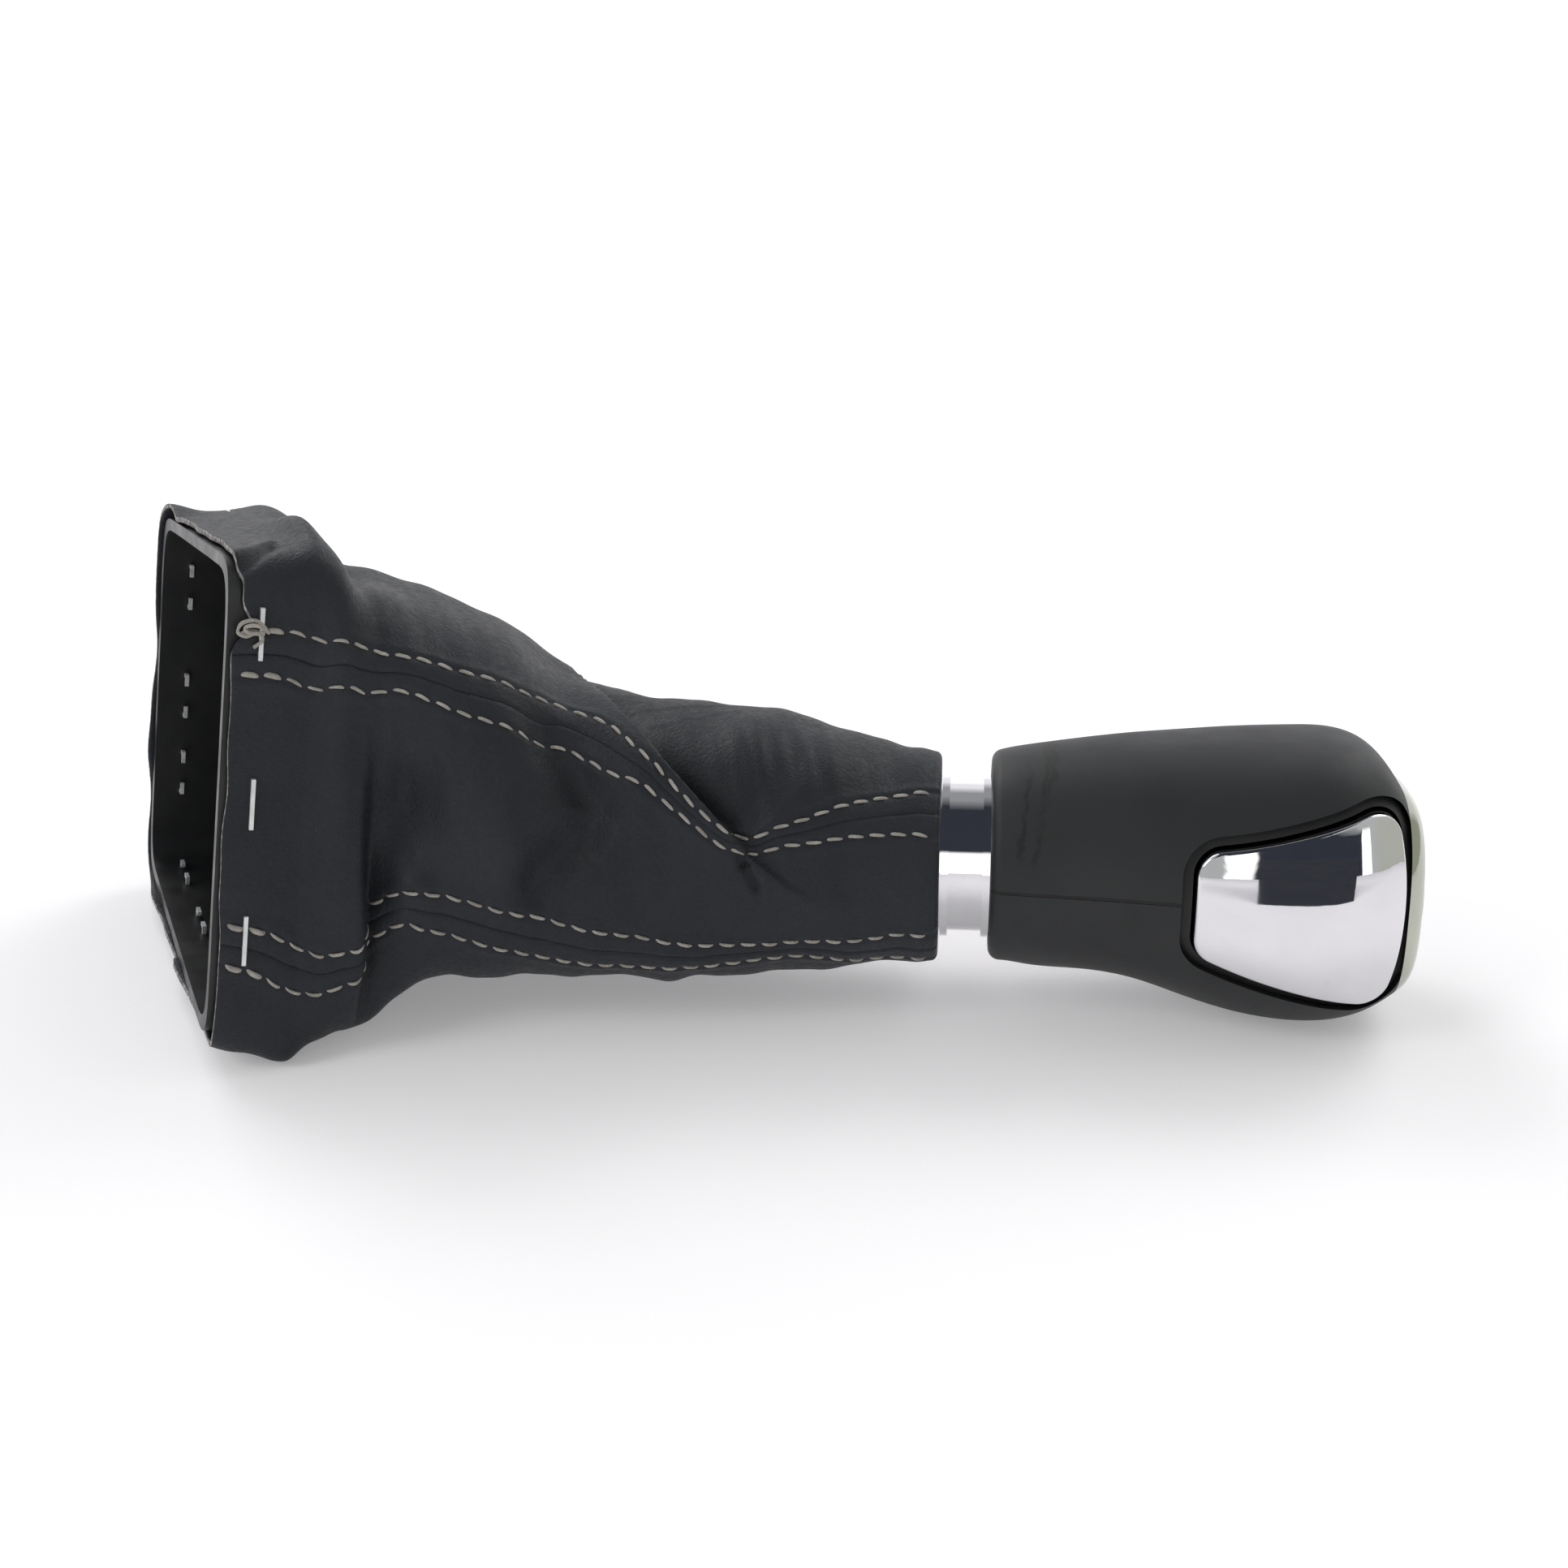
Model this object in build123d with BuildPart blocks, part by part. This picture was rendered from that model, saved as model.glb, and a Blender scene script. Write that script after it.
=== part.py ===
"""Gear shift knob with a sprung thumb button, a chrome collar and a stapled leather gaiter.

The part lies on its side. X runs along the lever axis from the gaiter to the knob's head,
Y away from the thumb button and Z up. The origin is the mouth of the lever bore.
All sizes are millimetres.
"""
import os
from math import atan, cos, degrees, exp, pi, radians, sin

from build123d import *
from numpy import gradient, searchsorted

# Lever bore and the core that holds it
bore_radius = 6.5
bore_depth = 52.0
core_radius = 12.5
core_tube_length = 62.0
core_block_end = 98.0
core_block_back = 19.5
core_block_half_height = 10.0
running_gap = 0.1

# Chrome collar between gaiter and grip
collar_radius = 15.2
collar_rim_radius = 16.4
collar_rim_width = 1.5
collar_start = 2.0
collar_end = 34.0
neck_end = 16.0
collar_gap = 0.3
grip_start = 26.2

# Grip form: the two shells share one outer shape
grip_length = 80.8
grip_wall = 2.6
grip_edge_round = 2.4
base_top = 21.6
base_bottom = 21.0
base_half_width = 20.6
head_top = 28.0
head_bottom = 30.4
head_half_width = 26.0
base_squareness = 2.1
head_squareness = 2.7
# share of the length, then share of the growth from base to head: top, bottom, width
grip_stations = (
    (0.000, 0.00, 0.00, 0.00),
    (0.094, 0.27, 0.03, 0.15),
    (0.227, 0.51, 0.07, 0.33),
    (0.360, 0.70, 0.21, 0.56),
    (0.480, 0.82, 0.53, 0.78),
    (0.600, 0.93, 0.83, 0.93),
    (0.745, 1.00, 1.00, 1.00),
    (0.853, 0.93, 0.94, 0.93),
    (0.937, 0.44, 0.70, 0.59),
    (1.000, -0.52, 0.34, 0.06),
)
grip_outline_steps = 24

# Thumb button in its recess, outlines in X and Z
button_start = 65.6
button_top_start = 10.6
button_top_end = 20.4
button_bottom_start = -10.2
button_bottom_end = -21.5
button_top_bow = -1.2
button_bottom_bow = 2.1
button_end_bow = 3.0
button_corner = 5.5
button_edge_round = 0.8
button_wall = 2.2
button_proud = 0.9
button_back = 10.0
button_reach = 40.0
button_end_gap = 1.0
button_travel = 4.0
button_stop_gap = 0.2
recess_margin = 2.6
surround_sink = 1.5
surround_back = 8.0
surround_gap = 0.5
boss_length = 17.0
boss_height = 13.0

# Button stem, its spring and the slider it drives over a 45 degree ramp
stem_start = 78.0
stem_length = 14.0
stem_half_height = 5.0
stem_back = 6.0
slider_radius = 4.2
slider_start = 55.0
slider_tip_radius = 2.4
slider_tip_length = 2.5
ramp_at_axis = 82.0
ramp_gap = 0.2
notch_gap = 0.6
spring_radius = 3.2
spring_wire_radius = 0.45
spring_turns = 6
spring_end_gap = 0.1
plug_thickness = 2.5
plug_spigot_radius = 2.2
plug_spigot_length = 2.0

# Chrome bezel and dark cap on the knob's end
bezel_depth = 3.2
bezel_taper = 3.4
bezel_land = 2.4
bezel_web = 1.4
cap_gap = 0.1
cap_crown = 2.6
cap_dome_radius = 57.0
cap_screw_radius = 1.5
cap_screw_head_radius = 2.8
cap_screw_head_height = 1.6
cap_screw_bite = 8.0
cap_boss_radius = 3.4
cap_boss_spacing = 16.0
cap_boss_y = 9.0

# Grub screws that clamp the lever
grub_radius = 2.0
grub_position = 8.0
grub_socket_radius = 1.0
grub_socket_depth = 2.0

# Gaiter frame: a rounded trapezoid band, turned towards the button side
frame_center = (-141.3, -0.5, 19.8)
frame_yaw = 27.0
frame_tilt = 7.2
frame_half_width = 45.5
frame_half_height = 44.5
frame_taper = 0.088
frame_squareness = 12.0
frame_depth = 16.0
frame_wall = 2.4

# Leather gaiter
leather = 1.3
leather_gap = 0.4
neck_radius = 21.4
neck_squareness = 2.0
seam_angle = 40.0
outline_steps = 40
gaiter_sections = 25
fold_start = 0.03
# share of the way to the neck, then shares of the frame's value: sideways, rise, turn, width,
# height, squareness
gaiter_stations = (
    (0.000, 1.00, 1.00, 1.00, 1.00, 1.00, 1.00),
    (0.054, 1.19, 1.03, 0.94, 1.03, 0.98, 0.50),
    (0.120, 1.04, 0.86, 0.85, 0.92, 0.93, 0.29),
    (0.190, 0.67, 0.81, 0.74, 0.72, 0.73, 0.20),
    (0.274, 0.37, 0.77, 0.61, 0.58, 0.62, 0.14),
    (0.365, 0.22, 0.61, 0.48, 0.49, 0.52, 0.11),
    (0.455, 0.12, 0.31, 0.33, 0.41, 0.31, 0.09),
    (0.553, 0.07, 0.21, 0.22, 0.33, 0.26, 0.07),
    (0.651, 0.00, 0.18, 0.15, 0.26, 0.23, 0.06),
    (0.749, 0.00, 0.16, 0.07, 0.19, 0.21, 0.04),
    (0.832, 0.00, 0.11, 0.00, 0.13, 0.14, 0.03),
    (0.916, 0.00, 0.03, 0.00, 0.05, 0.05, 0.01),
    (0.965, 0.00, 0.01, 0.00, 0.01, 0.01, 0.00),
    (1.000, 0.00, 0.00, 0.00, 0.00, 0.00, 0.00),
)
# folds of the leather: share of the way, turn from the button side in degrees, spread in
# each, lean of the fold in share per degree, depth inwards
gaiter_folds = (
    (0.60, 52.0, 0.085, 38.0, -0.0028, 6.5),
    (0.50, 52.0, 0.070, 38.0, -0.0028, -2.6),
    (0.05, -9.0, 0.045, 40.0, 0.0, -2.2),
    (0.15, -20.0, 0.045, 24.0, 0.0, 5.5),
    (0.15, -53.0, 0.055, 12.0, 0.0, -4.5),
    (0.19, 6.0, 0.070, 17.0, 0.0, 5.0),
    (0.36, 0.0, 0.065, 15.0, 0.0, -2.6),
    (0.47, 16.0, 0.045, 20.0, 0.0, 3.2),
    (0.10, 92.0, 0.050, 46.0, 0.0, 5.6),
    (0.02, 66.0, 0.028, 22.0, 0.0, -4.0),
    (0.02, -46.0, 0.032, 9.0, 0.0, -5.0),
    (0.46, 127.0, 0.060, 18.0, 0.0, -2.0),
    (0.17, 193.0, 0.050, 26.0, 0.0, 2.6),
    (0.40, 185.0, 0.056, 36.0, -0.0011, 3.6),
    (0.52, 185.0, 0.050, 40.0, 0.0, -1.8),
    (0.62, 173.0, 0.045, 34.0, 0.0014, 3.0),
    (0.25, 231.0, 0.060, 16.0, 0.0, -1.0),
)

# Plastic ring in the gaiter's neck
neck_ring_start = 2.6
neck_ring_gap = 0.3

# Staples that hold the leather to the frame
staple_crown = 10.0
staple_wire = 0.8
staple_clench = 2.6
staple_inset = 6.0
staple_lift = 0.05
clench_gap = 1.0
staple_hole_gap = 0.06
near_staples = (35.0, 1.9, -25.7)
far_staples = (25.0, 0.0, -18.0)
top_staples = (8.0, 30.0)
bottom_staples = (-24.0, 6.0, 32.0)
top_staple_inset = 12.0

# Values worked out from the sizes above
core_block_front = button_travel + button_stop_gap - button_back
grip_end = grip_start + grip_length
button_end = grip_end - button_end_gap
cap_top = base_top + grip_stations[-1][1] * (head_top - base_top)
cap_bottom = base_bottom + grip_stations[-1][2] * (head_bottom - base_bottom)
cap_center_z = (cap_top - cap_bottom) / 2
cap_half_height = (cap_top + cap_bottom) / 2
cap_half_width = base_half_width + grip_stations[-1][3] * (head_half_width - base_half_width)
cap_screw_places = ((cap_boss_y, -cap_boss_spacing / 2), (cap_boss_y, cap_boss_spacing / 2))
bezel_steps = ((0, 0), (bezel_depth / 2, bezel_taper / 3), (bezel_depth, bezel_taper))
frame_face = Plane(
    origin=frame_center,
    x_dir=(-sin(radians(frame_yaw)), cos(radians(frame_yaw)), 0),
    z_dir=(cos(radians(frame_yaw)) * cos(radians(frame_tilt)),
           sin(radians(frame_yaw)) * cos(radians(frame_tilt)),
           -sin(radians(frame_tilt))),
)
frame_top_center = frame_face.offset(frame_depth).origin
gaiter_cover = leather_gap + leather
staple_leg = gaiter_cover + frame_wall + clench_gap + staple_wire
gaiter_panels = (
    ("gaiter_near_panel", Keep.BOTTOM, Keep.TOP),
    ("gaiter_top_panel", Keep.TOP, Keep.TOP),
    ("gaiter_far_panel", Keep.TOP, Keep.BOTTOM),
    ("gaiter_bottom_panel", Keep.BOTTOM, Keep.BOTTOM),
)
neck_center = Vector(neck_end, 0, 0)
stem_middle = stem_start + stem_length / 2
spring_seat = core_block_back - plug_thickness


def outline_points(half_width, half_height, squareness, steps, taper=0.0, dent=None):
    """Points round a rounded quadrilateral, from the button side upwards."""
    points = []
    for step in range(steps):
        turn = 2 * pi * step / steps
        across = -cos(turn)
        up = sin(turn)
        span = abs(across / half_width) ** squareness + abs(up / half_height) ** squareness
        reach = span ** (-1 / squareness)
        if dent:
            reach -= dent(degrees(turn))
        flare = 1 - taper * reach * across / half_width
        points.append((reach * across, reach * up * flare))
    return points


def closed_line(points):
    """One smooth closed line through evenly numbered points."""
    return Edge.make_spline(points, periodic=True, parameters=[float(i) for i in range(len(points) + 1)])


def grip_section(station, inset):
    """Plane and points of one section of the grip form."""
    share, top_share, bottom_share, width_share = station
    top = base_top + top_share * (head_top - base_top)
    bottom = base_bottom + bottom_share * (head_bottom - base_bottom)
    half_width = base_half_width + width_share * (head_half_width - base_half_width)
    squareness = base_squareness + share * (head_squareness - base_squareness)
    plane = Plane(origin=(grip_start + share * grip_length, 0, (top - bottom) / 2),
                  x_dir=(0, 1, 0), z_dir=(1, 0, 0))
    points = outline_points(half_width - inset, (top + bottom) / 2 - inset, squareness, grip_outline_steps)
    return plane, points


def grip_form(inset):
    """The grip's outer shape, drawn in by an inset all round but not at its ends."""
    with BuildPart() as form:
        for station in grip_stations:
            plane, points = grip_section(station, inset)
            with BuildSketch(plane):
                with BuildLine():
                    add(closed_line(points))
                make_face()
        loft()
    return form.part


def button_edges():
    """Outline of the thumb button, seen along Y."""
    middle = (button_start + button_end) / 2
    top_middle = (button_top_start + button_top_end) / 2 + button_top_bow
    bottom_middle = (button_bottom_start + button_bottom_end) / 2 - button_bottom_bow
    low_start = (button_start, button_bottom_start)
    high_start = (button_start, button_top_start)
    end_middle = (button_end, (button_top_end + button_bottom_end) / 2)
    high_end = (button_end - button_end_bow, button_top_end)
    low_end = (button_end - button_end_bow, button_bottom_end)
    return [
        Edge.make_line(low_start, high_start),
        Edge.make_three_point_arc(high_start, (middle, top_middle), high_end),
        Edge.make_three_point_arc(high_end, end_middle, low_end),
        Edge.make_three_point_arc(low_end, (middle, bottom_middle), low_start),
    ]


def gaiter_fold(share):
    """Depth of the leather's folds at one share of the way, as a function of the turn."""
    def depth(turn):
        total = 0.0
        for middle, angle, spread, angle_spread, lean, size in gaiter_folds:
            away = (turn - angle + 180) % 360 - 180
            along = (share - middle - lean * away) / spread
            total += size * exp(-along ** 2 - (away / angle_spread) ** 2)
        return total * (1 - exp(-(share / fold_start) ** 2))
    return depth


def smooth_value(share, shares, values):
    """Value at one share, on a smooth line through the values at some shares."""
    slopes = gradient(values, shares)
    after = max(1, int(searchsorted(shares, share)))
    before = after - 1
    width = shares[after] - shares[before]
    step = (share - shares[before]) / width
    rest = 1 - step
    start = rest ** 2 * ((1 + 2 * step) * values[before] + step * width * slopes[before])
    end = step ** 2 * ((1 + 2 * rest) * values[after] - rest * width * slopes[after])
    return float(start + end)


def gaiter_section(share, inset):
    """Plane and points of one section of the gaiter."""
    shares, *columns = zip(*gaiter_stations)
    smoothed = [smooth_value(share, shares, column) for column in columns]
    side, rise, turn_share, width_share, height_share, square_share = smoothed
    yaw = radians(frame_yaw * turn_share)
    tilt = radians(frame_tilt * turn_share)
    x = frame_top_center.X + share * (neck_end - frame_top_center.X)
    plane = Plane(
        origin=(x, frame_top_center.Y * side, frame_top_center.Z * rise),
        x_dir=(-sin(yaw), cos(yaw), 0),
        z_dir=(cos(yaw) * cos(tilt), sin(yaw) * cos(tilt), -sin(tilt)),
    )
    half_width = neck_radius + width_share * (frame_half_width + gaiter_cover - neck_radius)
    half_height = neck_radius + height_share * (frame_half_height + gaiter_cover - neck_radius)
    squareness = neck_squareness + square_share * (frame_squareness - neck_squareness)
    points = outline_points(half_width - inset, half_height - inset, squareness, outline_steps,
                            frame_taper * turn_share, gaiter_fold(share))
    return plane, points


def gaiter_form(inset):
    """The gaiter's free length, from the frame's inner edge to the neck."""
    with BuildPart() as form:
        for section in range(gaiter_sections):
            plane, points = gaiter_section(section / (gaiter_sections - 1), inset)
            with BuildSketch(plane):
                with BuildLine():
                    add(closed_line(points))
                make_face()
        loft()
    return form.part


def frame_line(cover):
    """Outline of the frame, grown by a cover."""
    points = outline_points(frame_half_width + cover, frame_half_height + cover, frame_squareness,
                            outline_steps, frame_taper)
    return closed_line(points)


def staple_plane(along, outward, place):
    """Plane of one staple: x along its crown, y out of the leather."""
    crown = frame_face.x_dir * along[0] + frame_face.y_dir * along[1]
    out = frame_face.x_dir * outward[0] + frame_face.y_dir * outward[1]
    return Plane(origin=frame_face.from_local_coords(place), x_dir=crown, z_dir=crown.cross(out))


def cap_face(x):
    """Plane across the knob's end."""
    return Plane(origin=(x, 0, cap_center_z), x_dir=(0, 1, 0), z_dir=(1, 0, 0))


def cap_line(inset):
    """Outline of the knob's end, drawn in by an inset."""
    points = outline_points(cap_half_width - inset, cap_half_height - inset, head_squareness,
                            grip_outline_steps)
    return closed_line(points)


def seam_plane(elevation):
    """Plane along the gaiter through two of its seams."""
    along = (neck_center - frame_top_center).normalized()
    side = Vector(0, -cos(radians(elevation)), sin(radians(elevation)))
    return Plane(origin=neck_center, x_dir=along, z_dir=along.cross(side) * -1)


slope = atan(frame_half_height * frame_taper / frame_half_width)
near_x = -frame_half_width - gaiter_cover
staple_faces = [staple_plane((0, 1), (-1, 0), (near_x, w, staple_inset)) for w in near_staples]
staple_faces += [staple_plane((0, -1), (1, 0), (-near_x, w, staple_inset)) for w in far_staples]
for rise, places, inset in ((1, top_staples, top_staple_inset), (-1, bottom_staples, staple_inset)):
    for u in places:
        edge = frame_half_height * (1 - frame_taper * u / frame_half_width) + gaiter_cover
        staple_faces.append(staple_plane((rise * cos(slope), -sin(slope)), (sin(slope), rise * cos(slope)),
                                         (u, rise * edge, inset)))

os.makedirs("parts", exist_ok=True)
grip_outer = grip_form(0)
grip_inner = grip_form(grip_wall)

# Knob core: lever socket, slider guide and the block that guides the button stem
with BuildPart() as knob_core:
    with BuildSketch(Plane.YZ):
        Circle(core_radius)
    extrude(amount=core_tube_length)
    with BuildSketch(Plane.XZ.offset(-core_block_front)):
        with Locations(((core_tube_length + core_block_end) / 2, 0)):
            Rectangle(core_block_end - core_tube_length, 2 * core_block_half_height)
    extrude(amount=core_block_front - core_block_back)
    with BuildSketch(Plane.YZ):
        Circle(bore_radius)
    extrude(amount=bore_depth, mode=Mode.SUBTRACT)
    with BuildSketch(Plane.YZ):
        Circle(slider_radius + running_gap)
    extrude(amount=stem_start + stem_length, mode=Mode.SUBTRACT)
    with BuildSketch(Plane.XZ.offset(-core_block_front)):
        with Locations((stem_middle, 0)):
            Rectangle(stem_length + 2 * running_gap, 2 * (stem_half_height + running_gap))
    extrude(amount=core_block_front - core_block_back, mode=Mode.SUBTRACT)
    with BuildSketch(Plane.XY):
        with Locations((grub_position, 0)):
            Circle(grub_radius + running_gap)
    extrude(amount=core_radius, both=True, mode=Mode.SUBTRACT)
    with BuildSketch(Plane.YZ.offset(core_block_end)):
        with Locations(*cap_screw_places):
            Circle(cap_screw_radius + running_gap)
    extrude(amount=-cap_screw_bite, mode=Mode.SUBTRACT)
knob_core.part.label = "knob_core"
export_step(knob_core.part, "parts/knob_core.step")

# Hollow inside both grip shells
with BuildPart() as grip_hollow:
    add(grip_inner)
    split(bisect_by=Plane.YZ.offset(grip_start + grip_wall), keep=Keep.TOP)

# Both grip shells in one: hollowed, with the collar's hole and the button's recess
with BuildPart() as grip_hull:
    add(grip_outer)
    fillet(grip_hull.faces().sort_by(Axis.X)[0].edges(), grip_edge_round)
    add(grip_hollow.part, mode=Mode.SUBTRACT)
    with BuildSketch(Plane.YZ.offset(grip_start)):
        Circle(collar_radius + running_gap)
    extrude(amount=grip_wall, mode=Mode.SUBTRACT)
    with BuildSketch(Plane.XZ.offset(surround_back)):
        make_face(button_edges())
        fillet(vertices(), button_corner)
        offset(amount=recess_margin)
    extrude(amount=button_reach, mode=Mode.SUBTRACT)

# Upper grip shell
with BuildPart() as upper_grip_shell:
    add(grip_hull.part)
    split(bisect_by=Plane.XY, keep=Keep.TOP)
upper_grip_shell.part.label = "upper_grip_shell"
export_step(upper_grip_shell.part, "parts/upper_grip_shell.step")

# Lower grip shell
with BuildPart() as lower_grip_shell:
    add(grip_hull.part)
    split(bisect_by=Plane.XY, keep=Keep.BOTTOM)
lower_grip_shell.part.label = "lower_grip_shell"
export_step(lower_grip_shell.part, "parts/lower_grip_shell.step")

# Surround that lines the recess of the button
surround_skin = grip_form(surround_sink)
with BuildPart() as button_surround:
    with BuildSketch(Plane.XZ.offset(surround_back)):
        make_face(button_edges())
        fillet(vertices(), button_corner)
        offset(amount=recess_margin - running_gap)
    extrude(amount=button_reach)
    add(surround_skin, mode=Mode.INTERSECT)
    with BuildSketch(Plane.XZ.offset(surround_back)):
        make_face(button_edges())
        fillet(vertices(), button_corner)
        offset(amount=surround_gap)
    extrude(amount=button_reach, mode=Mode.SUBTRACT)
button_surround.part.label = "button_surround"
export_step(button_surround.part, "parts/button_surround.step")

# Hollow behind the button's chrome skin, with the boss left standing
button_inner_skin = grip_form(button_wall - button_proud)
with BuildPart() as button_hollow:
    with BuildSketch(Plane.XZ.offset(button_back)):
        make_face(button_edges())
        fillet(vertices(), button_corner)
        offset(amount=-button_wall)
        with Locations((stem_middle, 0)):
            Rectangle(boss_length, boss_height, mode=Mode.SUBTRACT)
    extrude(amount=button_reach)
    add(button_inner_skin, mode=Mode.INTERSECT)

# Thumb button
button_skin = grip_form(-button_proud)
with BuildPart() as thumb_button:
    with BuildSketch(Plane.XZ.offset(button_back)):
        make_face(button_edges())
        fillet(vertices(), button_corner)
    extrude(amount=button_reach)
    add(button_skin, mode=Mode.INTERSECT)
    fillet(thumb_button.faces().filter_by(GeomType.BSPLINE)[0].edges(), button_edge_round)
    add(button_hollow.part, mode=Mode.SUBTRACT)
thumb_button.part.label = "thumb_button"
export_step(thumb_button.part, "parts/thumb_button.step")

# Stem behind the button, with the ramp that drives the slider
notch_back = slider_radius + notch_gap
with BuildPart() as button_stem:
    with BuildSketch(Plane.XZ.offset(button_back)):
        with Locations((stem_middle, 0)):
            Rectangle(stem_length, 2 * stem_half_height)
    extrude(amount=-(button_back + stem_back))
    with BuildSketch(Plane.XY.offset(-stem_half_height)):
        with BuildLine():
            Polyline(
                (stem_start, stem_start - ramp_at_axis - ramp_gap),
                (ramp_at_axis + notch_back + ramp_gap, notch_back),
                (stem_start, notch_back),
                close=True,
            )
        make_face()
    extrude(amount=2 * stem_half_height, mode=Mode.SUBTRACT)
button_stem.part.label = "button_stem"
export_step(button_stem.part, "parts/button_stem.step")

# Slider with a 45 degree head, guided in the core above the lever bore
with BuildPart() as release_slider:
    with BuildSketch(Plane.YZ.offset(slider_start)):
        Circle(slider_radius)
    extrude(amount=ramp_at_axis + slider_radius - slider_start)
    split(bisect_by=Plane(origin=(ramp_at_axis, 0, 0), x_dir=(0, 0, 1), z_dir=(1, -1, 0)), keep=Keep.BOTTOM)
    with BuildSketch(Plane.YZ.offset(slider_start)):
        Circle(slider_tip_radius)
    extrude(amount=-slider_tip_length)
release_slider.part.label = "release_slider"
export_step(release_slider.part, "parts/release_slider.step")

# Plug that closes the stem's guide and seats the spring
with BuildPart() as spring_plug:
    with BuildSketch(Plane.XZ.offset(-core_block_back)):
        with Locations((stem_middle, 0)):
            Rectangle(stem_length, 2 * stem_half_height)
    extrude(amount=plug_thickness)
    with BuildSketch(Plane.XZ.offset(-spring_seat)):
        with Locations((stem_middle, 0)):
            Circle(plug_spigot_radius)
    extrude(amount=plug_spigot_length)
spring_plug.part.label = "spring_plug"
export_step(spring_plug.part, "parts/spring_plug.step")

# Return spring of the button
spring_start = stem_back + spring_wire_radius + spring_end_gap
spring_length = spring_seat - spring_end_gap - spring_wire_radius - spring_start
with BuildPart() as button_spring:
    with BuildLine() as spring_path:
        Helix(
            spring_length / spring_turns,
            spring_length,
            spring_radius,
            center=(stem_middle, spring_start, 0),
            direction=(0, 1, 0),
        )
    with BuildSketch(Plane(origin=spring_path.line @ 0, z_dir=spring_path.line % 0)):
        Circle(spring_wire_radius)
    sweep(is_frenet=True)
button_spring.part.label = "button_spring"
export_step(button_spring.part, "parts/button_spring.step")

# Chrome bezel on the knob's end, with the bosses its screws pass through
with BuildPart() as top_bezel:
    for rise, inset in bezel_steps:
        with BuildSketch(cap_face(grip_end + rise)):
            make_face(cap_line(inset))
    loft()
    with BuildSketch(cap_face(grip_end + bezel_web)):
        make_face(cap_line(bezel_taper + bezel_land))
    extrude(amount=bezel_depth, mode=Mode.SUBTRACT)
    with BuildSketch(Plane.YZ.offset(core_block_end)):
        with Locations(*cap_screw_places):
            Circle(cap_boss_radius)
    extrude(amount=grip_end - core_block_end)
    with BuildSketch(Plane.YZ.offset(core_block_end)):
        with Locations(*cap_screw_places):
            Circle(cap_screw_radius + running_gap)
    extrude(amount=grip_end + bezel_depth - core_block_end, mode=Mode.SUBTRACT)
    with BuildSketch(Plane.YZ.offset(grip_end + bezel_web)):
        with Locations(*cap_screw_places):
            Circle(cap_screw_head_radius + running_gap)
    extrude(amount=-cap_screw_head_height, mode=Mode.SUBTRACT)
top_bezel.part.label = "top_bezel"
export_step(top_bezel.part, "parts/top_bezel.step")

# Dark domed cap in the bezel
dome_center = grip_end + bezel_depth + cap_crown - cap_dome_radius
with BuildPart() as top_cap:
    with BuildSketch(cap_face(grip_end + bezel_web)):
        make_face(cap_line(bezel_taper + bezel_land + cap_gap))
    extrude(amount=cap_dome_radius)
    with Locations((dome_center, 0, cap_center_z)):
        Sphere(cap_dome_radius, mode=Mode.INTERSECT)
top_cap.part.label = "top_cap"
export_step(top_cap.part, "parts/top_cap.step")

# Screws that hold the bezel to the core
cap_screw_seat = grip_end + bezel_web - cap_screw_head_height
with BuildPart() as cap_screws:
    with BuildSketch(Plane.YZ.offset(cap_screw_seat)):
        with Locations(*cap_screw_places):
            Circle(cap_screw_head_radius)
    extrude(amount=cap_screw_head_height)
    with BuildSketch(Plane.YZ.offset(cap_screw_seat)):
        with Locations(*cap_screw_places):
            Circle(cap_screw_radius)
    extrude(amount=core_block_end - cap_screw_bite - cap_screw_seat)
cap_screws.part.label = "cap_screws"
export_step(cap_screws.part, "parts/cap_screws.step")

# Chrome collar with a rim at each end of its bare length
rim_one = neck_end + collar_gap
rim_two = grip_start - running_gap
with BuildPart() as collar:
    with BuildSketch(Plane.XZ):
        with BuildLine():
            Polyline(
                (collar_start, core_radius + running_gap),
                (collar_start, collar_radius),
                (rim_one, collar_radius),
                (rim_one, collar_rim_radius),
                (rim_one + collar_rim_width, collar_rim_radius),
                (rim_one + collar_rim_width, collar_radius),
                (rim_two - collar_rim_width, collar_radius),
                (rim_two - collar_rim_width, collar_rim_radius),
                (rim_two, collar_rim_radius),
                (rim_two, collar_radius),
                (collar_end, collar_radius),
                (collar_end, core_radius + running_gap),
                close=True,
            )
        make_face()
    revolve(axis=Axis.X)
collar.part.label = "collar"
export_step(collar.part, "parts/collar.step")

# Grub screws that clamp the lever
grub_length = core_radius - bore_radius - 2 * running_gap
with BuildPart() as lever_screws:
    for grub_face in (Plane.XY, -Plane.XY):
        with BuildSketch(grub_face.offset(bore_radius + running_gap)):
            with Locations((grub_position, 0)):
                Circle(grub_radius)
        extrude(amount=grub_length)
        with BuildSketch(grub_face.offset(core_radius - running_gap)):
            with Locations((grub_position, 0)):
                RegularPolygon(grub_socket_radius, 6)
        extrude(amount=-grub_socket_depth, mode=Mode.SUBTRACT)
lever_screws.part.label = "lever_screws"
export_step(lever_screws.part, "parts/lever_screws.step")

# Ring in the gaiter's neck, on the collar
with BuildPart() as gaiter_neck_ring:
    with BuildSketch(Plane.YZ.offset(neck_ring_start)):
        Circle(neck_radius - leather - neck_ring_gap)
        Circle(collar_radius + running_gap, mode=Mode.SUBTRACT)
    extrude(amount=neck_end - leather - neck_ring_gap - neck_ring_start)
gaiter_neck_ring.part.label = "gaiter_neck_ring"
export_step(gaiter_neck_ring.part, "parts/gaiter_neck_ring.step")

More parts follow.
